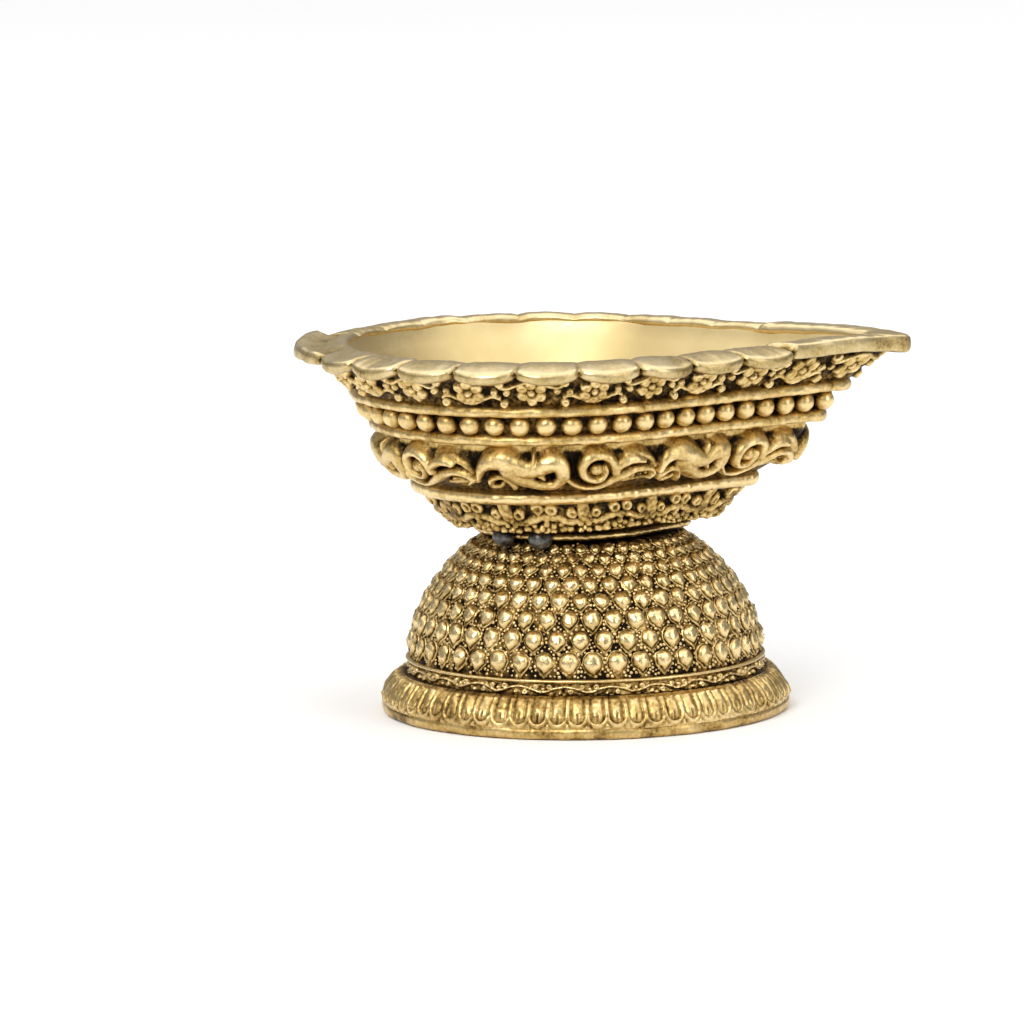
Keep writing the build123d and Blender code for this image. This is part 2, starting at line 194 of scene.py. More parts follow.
def blurred(field, size):
    """Field smoothed over a distance in grid steps, joined at its two ends."""
    pad = int(3 * size) + 1
    tall = np.pad(field, ((pad, pad), (0, 0)), mode="reflect" if pad < len(field) else "edge")
    down = np.fft.fftfreq(tall.shape[0])[:, None]
    across = np.fft.rfftfreq(tall.shape[1])[None]
    weight = np.exp(-2 * (pi * size) ** 2 * (down**2 + across**2))
    return np.fft.irfft2(np.fft.rfft2(tall) * weight, s=tall.shape)[pad:-pad]


def unit(values):
    """Values held between 0 and 1."""
    return np.clip(values, 0, 1)


def highest(*layers):
    """Height of whichever layer stands highest at each place."""
    return np.maximum.reduce(layers)


def rounded_path(points, steps=6):
    """Smooth line through points whose rows also carry a half width and a height."""
    points = np.array(points, float)
    ends = np.vstack([2 * points[0] - points[1], points, 2 * points[-1] - points[-2]])
    t = np.linspace(0, 1, steps, endpoint=False)[:, None]
    pieces = []
    for a, b, c, d in zip(ends, ends[1:], ends[2:], ends[3:]):
        bend = (2 * a - 5 * b + 4 * c - d) * t**2 + (3 * b - a - 3 * c + d) * t**3
        pieces.append(0.5 * (2 * b + (c - a) * t + bend))
    return np.vstack([*pieces, points[-1:]])


def drawn_wire(x, y, points, roundness=0.5):
    """Height of a wire of changing width laid through points (x, y, half width, height)."""
    path = rounded_path(points)
    result = np.zeros_like(x)
    for (ax, ay, aw, ah), (bx, by, bw, bh) in zip(path, path[1:]):
        dx, dy = bx - ax, by - ay
        share = unit(((x - ax) * dx + (y - ay) * dy) / max(dx * dx + dy * dy, 1e-9))
        far = np.hypot(x - ax - share * dx, y - ay - share * dy)
        wide = np.maximum(aw + (bw - aw) * share, 0.02)
        tall = ah + (bh - ah) * share
        result = np.maximum(result, tall * unit(1 - (far / wide) ** 2) ** roundness)
    return result


def strokes(x, y, paths, roundness):
    """Height of several wires, each at its own height."""
    wires = [[(px, py, wide, tall) for px, py, wide in path] for tall, path in paths]
    return highest(*[drawn_wire(x, y, wire, roundness) for wire in wires])


def button(x, y, cx, cy, radius, height, roundness=0.5):
    """Height of a round button."""
    far = np.hypot(x - cx, y - cy)
    return height * unit(1 - (far / radius) ** 2) ** roundness


def curl(x, y, cx, cy, radius, wire, height):
    """Height of a small wire ring with a dot in it."""
    far = np.hypot(x - cx, y - cy)
    ring = height * np.sqrt(unit(1 - ((far - radius + wire) / wire) ** 2))
    return highest(ring, button(x, y, cx, cy, 0.34 * radius, 0.75 * height))


def blossom(x, y, cx, cy, radius, height, petals, turn=0.0):
    """Height of a flower of round petals about a raised middle."""
    petal = radius * 0.37
    layers = [button(x, y, cx, cy, radius * 0.6, 0.5 * height)]
    for index in range(petals):
        angle = tau * index / petals + turn
        px, py = cx + (radius - petal) * cos(angle), cy + (radius - petal) * sin(angle)
        dent = button(x, y, px, py, 0.45 * petal, 0.16 * height)
        layers.append(button(x, y, px, py, petal, height, 0.28) - dent)
    return highest(*layers, button(x, y, cx, cy, radius * 0.26, 1.2 * height, 0.35))


def cell_grid(columns, rows, width, height):
    """Grid over one cell, its middle at 0, 0."""
    x = (np.arange(columns) + 0.5) / columns * width - width / 2
    y = np.linspace(-height / 2, height / 2, rows)
    return np.meshgrid(x, y)


def roughened(height, swing, size, fine, fine_size, seed):
    """Relief that swells and sinks slowly along its length, with a fine roughness on it."""
    slow = 1 + swing * mottle(*height.shape, size, seed)
    return height * slow + fine * mottle(*height.shape, fine_size, seed + 1)


def rubbed(height, near, depth):
    """How far each place is rubbed bright: 0 in the hollows, 1 on what stands out from its surroundings."""
    stands = height - blurred(height, near)
    return unit(0.5 + stands / depth)


# Meshes

RAIL_SHARES = round_shares(900)
helpers = []  # rails and templates, removed at the end


def linked(name, data):
    """New object in the scene."""
    thing = bpy.data.objects.new(name, data)
    bpy.context.scene.collection.objects.link(thing)
    return thing


def finished(name, mesh, finish):
    """Object in the scene, smooth, with one finish unless its mesh has its own."""
    mesh.polygons.foreach_set("use_smooth", [True] * len(mesh.polygons))
    if not mesh.materials:
        mesh.materials.append(finish)
    return linked(name, mesh)


def new_mesh(name, points, faces, polish=None):
    """Mesh in metres from points in millimetres, with how bright each point is: rubbed polish, and on some
    pieces painted light and shade.
    """
    mesh = bpy.data.meshes.new(name)
    mesh.from_pydata((np.asarray(points).reshape(-1, 3) * MM).tolist(), [], faces)
    if polish is not None:
        point_layer(mesh, "polish", polish)
    mesh.update()
    return mesh


def point_layer(mesh, name, values):
    """Gives each point of a mesh a number."""
    layer = mesh.attributes.new(name, "FLOAT", "POINT")
    layer.data.foreach_set("value", np.asarray(values, np.float32).ravel())


def dented(mesh, depth, size, seed):
    """Pushes a mesh's points in and out a little, in waves of about a size in millimetres."""
    count = 24
    rng = np.random.default_rng(seed)
    points = np.empty(len(mesh.vertices) * 3, np.float32)
    mesh.vertices.foreach_get("co", points)
    points = points.reshape(-1, 3)
    waves = rng.standard_normal((count, 3)) * 2 * pi / (size * MM)
    for axis in range(3):
        phase = points @ waves.T + rng.uniform(0, tau, count)
        points[:, axis] += np.sin(phase).sum(axis=1) * depth * MM / sqrt(count)
    mesh.vertices.foreach_set("co", points.ravel())
    mesh.update()
    return mesh


def ring_faces(rings, around, closed=False):
    """Faces between rings of points that each go once round, outwards when the rings go up."""
    faces = []
    for low in range(rings if closed else rings - 1):
        high = (low + 1) % rings
        for k in range(around):
            n = (k + 1) % around
            faces.append((low * around + k, low * around + n, high * around + n, high * around + k))
    return faces


def closed_rings(name, rings, polish):
    """Mesh through rings of points, the last joined to the first."""
    faces = ring_faces(len(rings), len(rings[0]), closed=True)
    return new_mesh(name, np.stack(rings), faces, np.stack(polish))


def ball_points(around, rings):
    """Points and faces of a unit ball with poles on z."""
    points = [(0.0, 0.0, -1.0)]
    for ring in range(1, rings + 1):
        up = -pi / 2 + pi * ring / (rings + 1)
        for k in range(around):
            angle = tau * (k + ring % 2 / 2) / around
            points.append((cos(up) * cos(angle), cos(up) * sin(angle), sin(up)))
    points.append((0.0, 0.0, 1.0))
    top = 1 + (rings - 1) * around
    faces = [(0, 1 + (k + 1) % around, 1 + k) for k in range(around)]
    faces += [tuple(1 + k for k in face) for face in ring_faces(rings, around)]
    faces += [(top + k, top + (k + 1) % around, len(points) - 1) for k in range(around)]
    return np.array(points), faces


def relief_strip(name, height, polish, sink):
    """Flat closed slab: x and y are shares of its length and height, z its relief in metres."""
    rows, columns = height.shape
    u = np.tile(round_shares(columns), (rows, 1))
    v = np.tile(np.linspace(0, 1, rows)[:, None], (1, columns))
    front = np.stack([u / MM, v / MM, height], axis=-1)
    back = np.stack([u / MM, v / MM, np.full_like(height, -sink)], axis=-1)
    points = np.concatenate([back[:1], front, back[-1:]])
    wear_and_painted_light = np.concatenate([polish[:1], polish, polish[-1:]])
    return closed_rings(name, points, wear_and_painted_light)


def template(name, points, faces, polish, finish):
    """Shape that a node tree copies."""
    helpers.append(finished(name, new_mesh(name, points, faces, polish), finish))
    return helpers[-1]


def edge_curve(points):
    """Closed curve through points."""
    data = bpy.data.curves.new("rail", "CURVE")
    data.dimensions = "3D"
    line = data.splines.new("POLY")
    line.points.add(len(points) - 1)
    flat = np.concatenate([points * MM, np.ones((len(points), 1))], axis=1)
    line.points.foreach_set("co", flat.astype(np.float32).ravel())
    line.use_cyclic_u = True
    helpers.append(linked("rail", data))
    return helpers[-1]


def wall_rail(leaf):
    """Curve along a leaf outline."""
    return edge_curve(leaf_edge(leaf, RAIL_SHARES)[0])


def ring_rail(radius, z):
    """Curve round a level circle."""
    return edge_curve(ring_edge(radius, z, RAIL_SHARES))


# Node trees


def node_maker(tree):
    """Adds a node, sets its inputs by name and returns it; i0, i1 and so on are inputs by their place."""

    def add(kind, settings=None, **inputs):
        node = tree.nodes.new(kind)
        for key, value in (settings or {}).items():
            setattr(node, key, value)
        for key, value in inputs.items():
            by_place = key[0] == "i" and key[1:].isdigit()
            socket = node.inputs[int(key[1:])] if by_place else node.inputs[key.replace("_", " ")]
            if isinstance(value, bpy.types.NodeSocket):
                tree.links.new(value, socket)
            else:
                socket.default_value = value
        return node

    return add


def calc(add, operation, a, b=0.0, clamp=False):
    """One sum of two numbers."""
    return add("ShaderNodeMath", {"operation": operation, "use_clamp": clamp}, i0=a, i1=b).outputs[0]


def vector_calc(add, operation, a, b=(0, 0, 0)):
    """One sum of two vectors, or of a vector and a scale."""
    second = {"Scale" if operation == "SCALE" else "i1": b}
    return add("ShaderNodeVectorMath", {"operation": operation}, i0=a, **second).outputs[0]


def new_tree(name, inputs):
    """Geometry tree with named inputs, then a finish; returns it, its node maker and its inputs."""
    tree = bpy.data.node_groups.new(name, "GeometryNodeTree")
    for label, kind in {**inputs, "Finish": "Material"}.items():
        tree.interface.new_socket(label, in_out="INPUT", socket_type="NodeSocket" + kind)
    tree.interface.new_socket("Made", in_out="OUTPUT", socket_type="NodeSocketGeometry")
    add = node_maker(tree)
    return tree, add, add("NodeGroupInput").outputs


def end_tree(add, given, shape):
    """Last nodes of a tree: real copies with the finish on them."""
    whole = add("GeometryNodeRealizeInstances", Geometry=shape).outputs[0]
    coated = add("GeometryNodeSetMaterial", Geometry=whole, Material=given["Finish"]).outputs[0]
    add("NodeGroupOutput", Made=coated)


def shape_of(add, thing):
    return add("GeometryNodeObjectInfo", Object=thing).outputs["Geometry"]


def edge_sample(add, edge, share):
    """Place and direction at a share of an edge's length."""
    settings = {"mode": "FACTOR", "use_all_curves": True}
    return add("GeometryNodeSampleCurve", settings, Curves=shape_of(add, edge), Factor=share).outputs


def unevenness(add, given):
    """Small random vector for each copy."""
    ends = {"i0": (-1, -1, -1), "i1": (1, 1, 1), "Seed": given["Seed"]}
    wobble = add("FunctionNodeRandomValue", {"data_type": "FLOAT_VECTOR"}, **ends).outputs[0]
    return vector_calc(add, "SCALE", wobble, given["Unevenness"])


def copies(add, points, shape, rotation, scale):
    settings = {"Points": points, "Instance": shape, "Rotation": rotation, "Scale": scale}
    return add("GeometryNodeInstanceOnPoints", **settings).outputs[0]


def relief_wrap_tree():
    """Wraps a flat relief strip round the wall between a lower and an upper edge."""
    inputs = {"Strip": "Geometry", "Lower edge": "Object", "Upper edge": "Object"}
    tree, add, given = new_tree("relief_wrap", inputs)
    place = add("ShaderNodeSeparateXYZ", Vector=add("GeometryNodeInputPosition").outputs[0]).outputs
    low, high = (edge_sample(add, given[edge], place["X"]) for edge in ("Lower edge", "Upper edge"))

    def between(part):
        mix = add("ShaderNodeMix", {"data_type": "VECTOR"}, i0=place["Y"], i4=low[part], i5=high[part])
        return mix.outputs[1]

    rise = vector_calc(add, "SUBTRACT", high["Position"], low["Position"])
    out = vector_calc(add, "NORMALIZE", vector_calc(add, "CROSS_PRODUCT", between("Tangent"), rise))
    moved = vector_calc(add, "ADD", between("Position"), vector_calc(add, "SCALE", out, place["Z"]))
    laid = add("GeometryNodeSetPosition", Geometry=given["Strip"], Position=moved)
    end_tree(add, given, laid.outputs[0])
    return tree


def stud_ring_tree():
    """Stands copies of a stud round the dome at one height, each a little different."""
    sizes = dict.fromkeys(("Radius", "Height", "Turn", "Lean", "Size", "Unevenness"), "Float")
    tree, add, given = new_tree("stud_ring", {"Stud": "Object", "Count": "Int", **sizes, "Seed": "Int"})
    index = add("GeometryNodeInputIndex").outputs[0]
    step = calc(add, "DIVIDE", tau, given["Count"])
    angle = calc(add, "MULTIPLY", calc(add, "ADD", index, given["Turn"]), step)
    x, y = (calc(add, "MULTIPLY", given["Radius"], calc(add, turn, angle)) for turn in ("COSINE", "SINE"))
    place = add("ShaderNodeCombineXYZ", X=x, Y=y, Z=given["Height"]).outputs[0]
    points = add("GeometryNodePoints", Count=given["Count"], Position=place).outputs[0]
    uneven = unevenness(add, given)
    heading = calc(add, "ADD", angle, pi / 2)
    facing = add("ShaderNodeCombineXYZ", X=given["Lean"], Z=heading).outputs[0]
    grown = calc(add, "ADD", 1.0, add("ShaderNodeSeparateXYZ", Vector=uneven).outputs["X"])
    size = calc(add, "MULTIPLY", given["Size"], grown)
    placed = copies(add, points, shape_of(add, given["Stud"]), vector_calc(add, "ADD", facing, uneven), size)
    end_tree(add, given, placed)
    return tree


def bead_line_tree():
    """Stands beads along a closed edge, turned to face outwards from the wall."""
    inputs = {"Bead": "Object", "Edge": "Object", "Count": "Int", "Lean": "Float", "Unevenness": "Float"}
    tree, add, given = new_tree("bead_line", {**inputs, "Seed": "Int"})
    middle = calc(add, "ADD", add("GeometryNodeInputIndex").outputs[0], 0.5)
    sample = edge_sample(add, given["Edge"], calc(add, "DIVIDE", middle, given["Count"]))
    points = add("GeometryNodePoints", Count=given["Count"], Position=sample["Position"]).outputs[0]
    run = add("ShaderNodeSeparateXYZ", Vector=sample["Tangent"]).outputs
    heading = calc(add, "ARCTAN2", run["Y"], run["X"])
    facing = add("ShaderNodeCombineXYZ", X=given["Lean"], Z=heading).outputs[0]
    uneven = unevenness(add, given)
    turned, grown = vector_calc(add, "ADD", facing, uneven), vector_calc(add, "ADD", (1, 1, 1), uneven)
    end_tree(add, given, copies(add, points, shape_of(add, given["Bead"]), turned, grown))
    return tree


def granule_tree():
    """Scatters granules over the bare ground between the studs."""
    sizes = dict.fromkeys(("Spacing", "Density", "Smallest", "Largest"), "Float")
    inputs = {"Ground": "Geometry", "Granule": "Object", **sizes, "Seed": "Int"}
    tree, add, given = new_tree("granules", inputs)
    bare = add("GeometryNodeInputNamedAttribute", {"data_type": "FLOAT"}, Name="bare").outputs["Attribute"]
    strewn = add(
        "GeometryNodeDistributePointsOnFaces", {"distribute_method": "POISSON"}, Mesh=given["Ground"],
        Distance_Min=given["Spacing"], Density_Max=given["Density"], Density_Factor=bare, Seed=given["Seed"],
    ).outputs
    ends = {"i2": given["Smallest"], "i3": given["Largest"]}
    size = add("FunctionNodeRandomValue", {"data_type": "FLOAT"}, **ends, Seed=given["Seed"]).outputs[1]
    granule = shape_of(add, given["Granule"])
    end_tree(add, given, copies(add, strewn["Points"], granule, strewn["Rotation"], size))
    return tree


def grown_mesh(name, start, tree, inputs):
    """Plain mesh that a tree makes from a starting mesh, with the tree's inputs given by name."""
    seed = linked(name + ".seed", start)
    modifier = seed.modifiers.new("make", "NODES")
    modifier.node_group = tree
    for socket in tree.interface.items_tree:
        if socket.in_out == "INPUT" and socket.name in inputs:
            modifier[socket.identifier] = inputs[socket.name]
    graph = bpy.context.evaluated_depsgraph_get()
    made = seed.evaluated_get(graph)
    mesh = bpy.data.meshes.new_from_object(made, preserve_all_data_layers=True, depsgraph=graph)
    mesh.name = name
    seed.modifiers.clear()
    bpy.data.objects.remove(seed)
    bpy.data.meshes.remove(start)
    return mesh


RELIEF_WRAP = relief_wrap_tree()
STUD_RING = stud_ring_tree()
BEAD_LINE = bead_line_tree()
GRANULES = granule_tree()


def wrapped(name, height, polish, rails, finish, sink=0.35):
    """Relief strip wrapped round between a lower and an upper rail, as a finished piece."""
    lower, upper = rails
    strip = relief_strip(name + ".strip", height, polish, sink)
    mesh = grown_mesh(name, strip, RELIEF_WRAP, {"Lower edge": lower, "Upper edge": upper, "Finish": finish})
    return finished(name, mesh, finish)


# Finishes


def new_finish(name):
    """Empty material, its node maker and its Object coordinates."""
    finish = bpy.data.materials.new(name)
    finish.use_nodes = True
    finish.node_tree.nodes.clear()
    add = node_maker(finish.node_tree)
    return finish, add, add("ShaderNodeTexCoord").outputs["Object"]


def cloudy(add, place, scale, detail, roughness=0.5):
    settings = {"Scale": scale, "Detail": detail, "Roughness": roughness}
    return add("ShaderNodeTexNoise", Vector=place, **settings).outputs["Fac"]


def spread(add, value, start, end, low, high):
    """Value carried from one span of numbers to another."""
    spans = {"From_Min": start, "From_Max": end, "To_Min": low, "To_Max": high}
    return add("ShaderNodeMapRange", Value=value, **spans).outputs[0]


def colours(add, value, first, last, *between):
    """Colour ramp through stops of place and colour."""
    ramp = add("ShaderNodeValToRGB", Fac=value)
    stops = ramp.color_ramp.elements
    for stop, (place, colour) in zip(stops, (first, last)):
        stop.position, stop.color = place, (*colour, 1)
    for place, colour in between:
        stops.new(place).color = (*colour, 1)
    return ramp.outputs[0]


def metal(add, colour, rough, height, grain, depth, metallic=1.0):
    """Last nodes of a metal finish, with a fine bump."""
    bump = add("ShaderNodeBump", Strength=grain, Distance=depth, Height=height).outputs[0]
    looks = {"Metallic": metallic, "Base_Color": colour, "Roughness": rough, "Normal": bump}
    shade = add("ShaderNodeBsdfPrincipled", **looks)
    add("ShaderNodeOutputMaterial", Surface=shade.outputs[0])


def brass(name, dark, brown, gold, bright, dull, sheen, grain):
    """Antique brass: dark patina in the hollows, rubbed bright where the surface stands out, and painted
    light and shade where a piece's brightness carries them.
    """
    finish, add, place = new_finish(name)
    wear_and_painted_light = add("ShaderNodeAttribute", {"attribute_name": "polish"}).outputs["Fac"]
    speck = cloudy(add, place, 2600.0, 3.0, 0.6)
    patch = spread(add, cloudy(add, place, 420.0, 4.0, 0.62), 0.3, 0.7, -0.16, 0.16)
    fleck = spread(add, speck, 0.3, 0.7, -0.14, 0.14)
    mixed = calc(add, "ADD", calc(add, "ADD", wear_and_painted_light, patch), fleck, clamp=True)
    colour = colours(add, mixed, (0.12, dark), (0.92, bright), (0.34, brown), (0.56, gold))
    rough = spread(add, mixed, 0.1, 0.9, dull, sheen)
    rough = calc(add, "ADD", rough, spread(add, speck, 0.3, 0.7, -0.06, 0.06), clamp=True)
    metal(add, colour, rough, speck, grain, 0.00008)
    return finish


def satin_brass():
    """Smooth wiped inside of the bowl: pale brass with faint clouds."""
    finish, add, place = new_finish("satin_brass")
    speck = cloudy(add, place, 2400.0, 3.0, 0.6)
    cloud = cloudy(add, place, 70.0, 3.0, 0.55)
    colour = colours(add, cloud, (0.3, (0.585, 0.44, 0.195)), (0.7, (0.765, 0.62, 0.335)))
    metal(add, colour, spread(add, speck, 0.3, 0.7, 0.36, 0.5), speck, 0.15, 0.00005)
    return finish


def grey_solder():
    """Dull dark solder with a few bright specks."""
    finish, add, place = new_finish("grey_solder")
    cloud = cloudy(add, place, 900.0, 4.0, 0.6)
    colour = colours(add, cloud, (0.40, (0.022, 0.021, 0.020)), (0.74, (0.20, 0.192, 0.18)))
    metal(add, colour, spread(add, cloud, 0.35, 0.7, 0.5, 0.26), cloud, 0.4, 0.0001, 0.85)
    return finish


def pale_floor():
    """Matt floor, almost even."""
    finish, add, place = new_finish("pale_floor")
    colour = colours(add, cloudy(add, place, 3.0, 2.0), (0.3, (0.90, 0.90, 0.90)), (0.7, (0.92, 0.92, 0.92)))
    shade = add("ShaderNodeBsdfPrincipled", Base_Color=colour, Roughness=0.9)
    add("ShaderNodeOutputMaterial", Surface=shade.outputs[0])
    return finish


FOOT_BRASS = brass(
    "foot_antique_brass",
    dark=(0.014, 0.010, 0.006), brown=(0.150, 0.088, 0.026),
    gold=(0.54, 0.360, 0.118), bright=(0.88, 0.680, 0.345),
    dull=0.55, sheen=0.27, grain=0.35,
)
BOWL_BRASS = brass(
    "bowl_antique_brass",
    dark=(0.014, 0.010, 0.006), brown=(0.165, 0.098, 0.028),
    gold=(0.53, 0.355, 0.112), bright=(0.83, 0.635, 0.310),
    dull=0.55, sheen=0.31, grain=0.3,
)
RIM_BRASS = brass(
    "rim_pale_brass",
    dark=(0.03, 0.021, 0.010), brown=(0.24, 0.160, 0.055),
    gold=(0.50, 0.370, 0.155), bright=(0.71, 0.570, 0.320),
    dull=0.5, sheen=0.33, grain=0.25,
)
SATIN_BRASS = satin_brass()
GREY_SOLDER = grey_solder()


# Foot


def base_ring():
    """Plain ring under the petals, with a softened band at the floor."""
    # radius, height and brightness, from the inner foot round by the outside to the inner top
    profile = [
        (BASE_INNER, 0.0, 0.3), (BASE_RADIUS - 0.45, 0.0, 0.46), (BASE_RADIUS - 0.1, 0.12, 0.57),
        (BASE_RADIUS + 0.08, 0.45, 0.62), (BASE_RADIUS + 0.08, 0.85, 0.62), (BASE_RADIUS, BASE_BAND, 0.57),
        (BASE_RADIUS - 0.3, BASE_BAND + 0.15, 0.3), (BASE_TOP_RADIUS - 0.3, BASE_HEIGHT - 0.2, 0.15),
        (BASE_TOP_RADIUS - 0.6, BASE_HEIGHT, 0.12), (BASE_INNER, BASE_HEIGHT, 0.12),
    ]
    around = 360
    rings, wear_and_painted_light = [], []
    for (radius, z, bright), ripple in zip(profile, mottle(len(profile), around, 2.0, 11)):
        shown = radius > BASE_RADIUS - 0.2
        rings.append(ring_edge(radius + 0.06 * ripple * shown, z, round_shares(around)))
        wear_and_painted_light.append(bright + 0.09 * ripple)
    return finished("foot_base_ring", closed_rings("base_ring", rings, wear_and_painted_light), FOOT_BRASS)


def petal_ring():
    """Tongues with a raised border and a groove, side by side round the base."""
    columns, rows = 20, 40
    width = tau * (BASE_RADIUS + BASE_TOP_RADIUS) / 2 / PETALS
    tall = hypot(BASE_RADIUS - BASE_TOP_RADIUS, BASE_HEIGHT - BASE_BAND)
    x, y = cell_grid(columns, rows, width, tall)
    foot = -tall / 2 + 0.25
    centre = foot + width * 0.47
    far = np.hypot(x, np.minimum(y - centre, 0))
    border = 0.34 * np.sqrt(unit(1 - ((far - 0.45 * width) / 0.2) ** 2))
    tongue = button(far, 0, 0, 0, 0.34 * width, 0.36)
    slit = button(x / 0.13, (y - centre + 0.15) / 0.6, 0, 0, 1.0, 0.3, 1)
    corner = button((np.abs(x) - width / 2) / 0.28, (y - foot - 0.05) / 0.42, 0, 0, 1.0, 0.16)
    fade = np.clip((tall / 2 - y) / 0.6, 0.35, 1)
    height = np.tile(highest(border, tongue - slit, corner) * fade, (1, PETALS))
    height = roughened(height, 0.22, 9.0, 0.03, 2.0, 21)
    up = np.linspace(0, 1, rows)[:, None]
    # The tops of the petals, in the corner at the dome's foot, are darkened with painted shade.
    wear_and_painted_light = 0.325 + 0.52 * rubbed(height, 3.2, 0.42) - 0.3 * unit(up - 0.7)
    wear_and_painted_light = wear_and_painted_light + 0.06 * mottle(*height.shape, 14.0, 23) + 0.3 * unit(1 - up / 0.1)
    height += BASE_BULGE * unit(np.sin(pi * up)) ** 0.8
    rails = ring_rail(BASE_RADIUS, BASE_BAND), ring_rail(BASE_TOP_RADIUS, BASE_HEIGHT)
    return wrapped("foot_petals", height, unit(wear_and_painted_light), rails, FOOT_BRASS, sink=0.5)


def filigree_band():
    """Narrow band of waving wire with little curls and grains."""
    columns, rows = 52, 15
    width, tall = tau * DOME_RADIUS / FILIGREE_CELLS, 1.35
    x, y = cell_grid(columns, rows, width, tall)
    vine = [
        (-0.62, -0.30), (-0.38, -0.22), (-0.14, 0.22), (0.1, 0.30), (0.34, -0.02), (0.5, -0.3), (0.62, -0.3),
    ]
    one = highest(
        drawn_wire(x, y, [(px * width, py, 0.15, 0.34) for px, py in vine]),
        curl(x, y, -0.3 * width, 0.32, 0.33, 0.12, 0.36),
        curl(x, y, 0.16 * width, -0.28, 0.32, 0.12, 0.36),
        curl(x, y, 0.40 * width, 0.3, 0.3, 0.12, 0.34),
        button(x, y, -0.07 * width, -0.35, 0.24, 0.36),
        button(x, y, -0.44 * width, 0.1, 0.26, 0.4),
    )
    height = np.tile(one, (1, FILIGREE_CELLS))
    height = roughened(height, 0.25, 6.0, 0.04, 1.1, 31)
    wear_and_painted_light = unit(rubbed(height, 3.0, 0.5) + 0.07)
    rails = ring_rail(DOME_RADIUS + 0.05, BASE_HEIGHT - 0.05), ring_rail(DOME_RADIUS, BASE_HEIGHT + 1.3)
    return wrapped("foot_filigree", height, wear_and_painted_light, rails, FOOT_BRASS, sink=0.3)


def half_round(rows):
    """Half round section across a strip, 0 at its edges and 1 in the middle."""
    across = np.linspace(-1, 1, rows)[:, None]
    return np.sqrt(unit(1 - across**2))


def dome_wire():
    """Thin wire between the filigree and the studs."""
    rows, columns = 9, 420
    swell = half_round(rows)
    height = 0.55 * swell + 0.02 * mottle(rows, columns, 3.0, 41)
    wear_and_painted_light = unit(0.25 + 0.7 * swell + 0.1 * mottle(rows, columns, 6.0, 42))
    levels = WIRE_HEIGHT - WIRE_RADIUS, WIRE_HEIGHT + WIRE_RADIUS * 0.6
    rails = [ring_rail(dome_radius(z), z) for z in levels]
    return wrapped("foot_wire", height, wear_and_painted_light, rails, FOOT_BRASS, sink=0.2)


def stud_heights():
    """Heights of the rows, closer together as the studs get smaller."""
    start, end = (atanh((z - BASE_HEIGHT) / DOME_RISE) for z in (LOWEST_STUDS, HIGHEST_STUDS))
    step = (end - start) / (STUD_ROWS - 1)
    return [BASE_HEIGHT + DOME_RISE * tanh(start + step * index) for index in range(STUD_ROWS)]


def drop_outline(angles, radius, tail):
    """Reach of a drop's outline at angles from +X, its point at -Y."""
    turn = acos(radius / tail)
    off = np.abs(np.mod(angles + pi / 2 + pi, tau) - pi)
    return np.where(off < turn, radius / np.cos(turn - off), radius)


def stud_template():
    """Round boss in a drop-shaped collar, its point down, lying on the ground at z = 0."""
    around = 12
    angles = round_shares(around) * tau - pi / 2
    drop = drop_outline(angles, 1.22, 1.86)
    ball = drop_outline(angles, 1.0, 1.32)
    # reach, height and brightness, from the collar's foot up to the boss
    section = [
        (drop * 1.02, -0.3, 0.06), (drop * 0.96, 0.15, 0.73), (ball * 1.05, 0.12, 0.18),
        (ball * 0.9, 0.42, 0.74), (ball * 0.52, 0.61, 0.96),
    ]
    x, y = np.cos(angles), np.sin(angles)
    rings = [np.stack([reach * x, reach * y, np.full(around, z)], axis=-1) for reach, z, _ in section]
    points = np.concatenate([*rings, [[0.0, 0.0, 0.66]]])
    polish = np.concatenate([*[np.full(around, bright) for *_, bright in section], [0.95]])
    faces = ring_faces(len(rings), around)
    top = (len(rings) - 1) * around
    faces += [(top + k, top + (k + 1) % around, len(points) - 1) for k in range(around)]
    faces.append(tuple(reversed(range(around))))
    return template("stud_template", points, faces, polish, FOOT_BRASS)


def stud_rows():
    """Rows of studs up the dome, smaller as the dome narrows."""
    stud = stud_template()
    rows = []
    for row, z in enumerate(stud_heights(), 1):
        radius = float(dome_radius(z))
        lean = np.arctan2(radius / DOME_RADIUS**2, (z - BASE_HEIGHT) / DOME_RISE**2)
        inputs = {
            "Stud": stud, "Count": STUDS_PER_ROW, "Radius": radius * MM, "Height": z * MM,
            "Turn": (row - 1) / 2, "Lean": float(lean), "Size": radius / DOME_RADIUS,
            "Unevenness": 0.08, "Seed": row, "Finish": FOOT_BRASS,
        }
        mesh = grown_mesh(f"stud_row_{row}", bpy.data.meshes.new("none"), STUD_RING, inputs)
        dented(mesh, depth=0.085, size=0.8, seed=300 + row)
        rows.append(finished(f"foot_studs_{row}", mesh, FOOT_BRASS))
    return rows


def dome_profile():
    """Half section of the hollow dome: up its outside, over the flat top, and down its inside."""
    section = [(float(dome_radius(z)), float(z)) for z in np.linspace(BASE_HEIGHT, DOME_TOP, DOME_STEPS)]
    section += [(7.0, DOME_TOP), (SOCKET_RADIUS, DOME_TOP), (SOCKET_RADIUS, DOME_TOP - DOME_WALL)]
    inner, rise = DOME_RADIUS - DOME_WALL, DOME_RISE - DOME_WALL
    for z in np.linspace(DOME_TOP - DOME_WALL, BASE_HEIGHT, 16):
        section.append((inner * sqrt(1 - ((z - BASE_HEIGHT) / rise) ** 2), float(z)))
    return section


def bare_ground(radius, z, shares):
    """1 where the dome is bare at a height, 0 under the studs."""
    free = np.full(len(shares), 1.0 if WIRE_HEIGHT + 0.4 < z < DOME_TOP - 0.1 else 0.0)
    for row, middle in enumerate(stud_heights()):
        reach = 1.05 * float(dome_radius(middle)) / DOME_RADIUS
        across = (np.mod(shares * STUDS_PER_ROW - row / 2 + 0.5, 1) - 0.5) * tau * radius / STUDS_PER_ROW
        up = (z - middle) / max(radius / DOME_RADIUS, 0.4)
        free = np.where(np.hypot(across, up) < reach, 0.0, free)
    return free


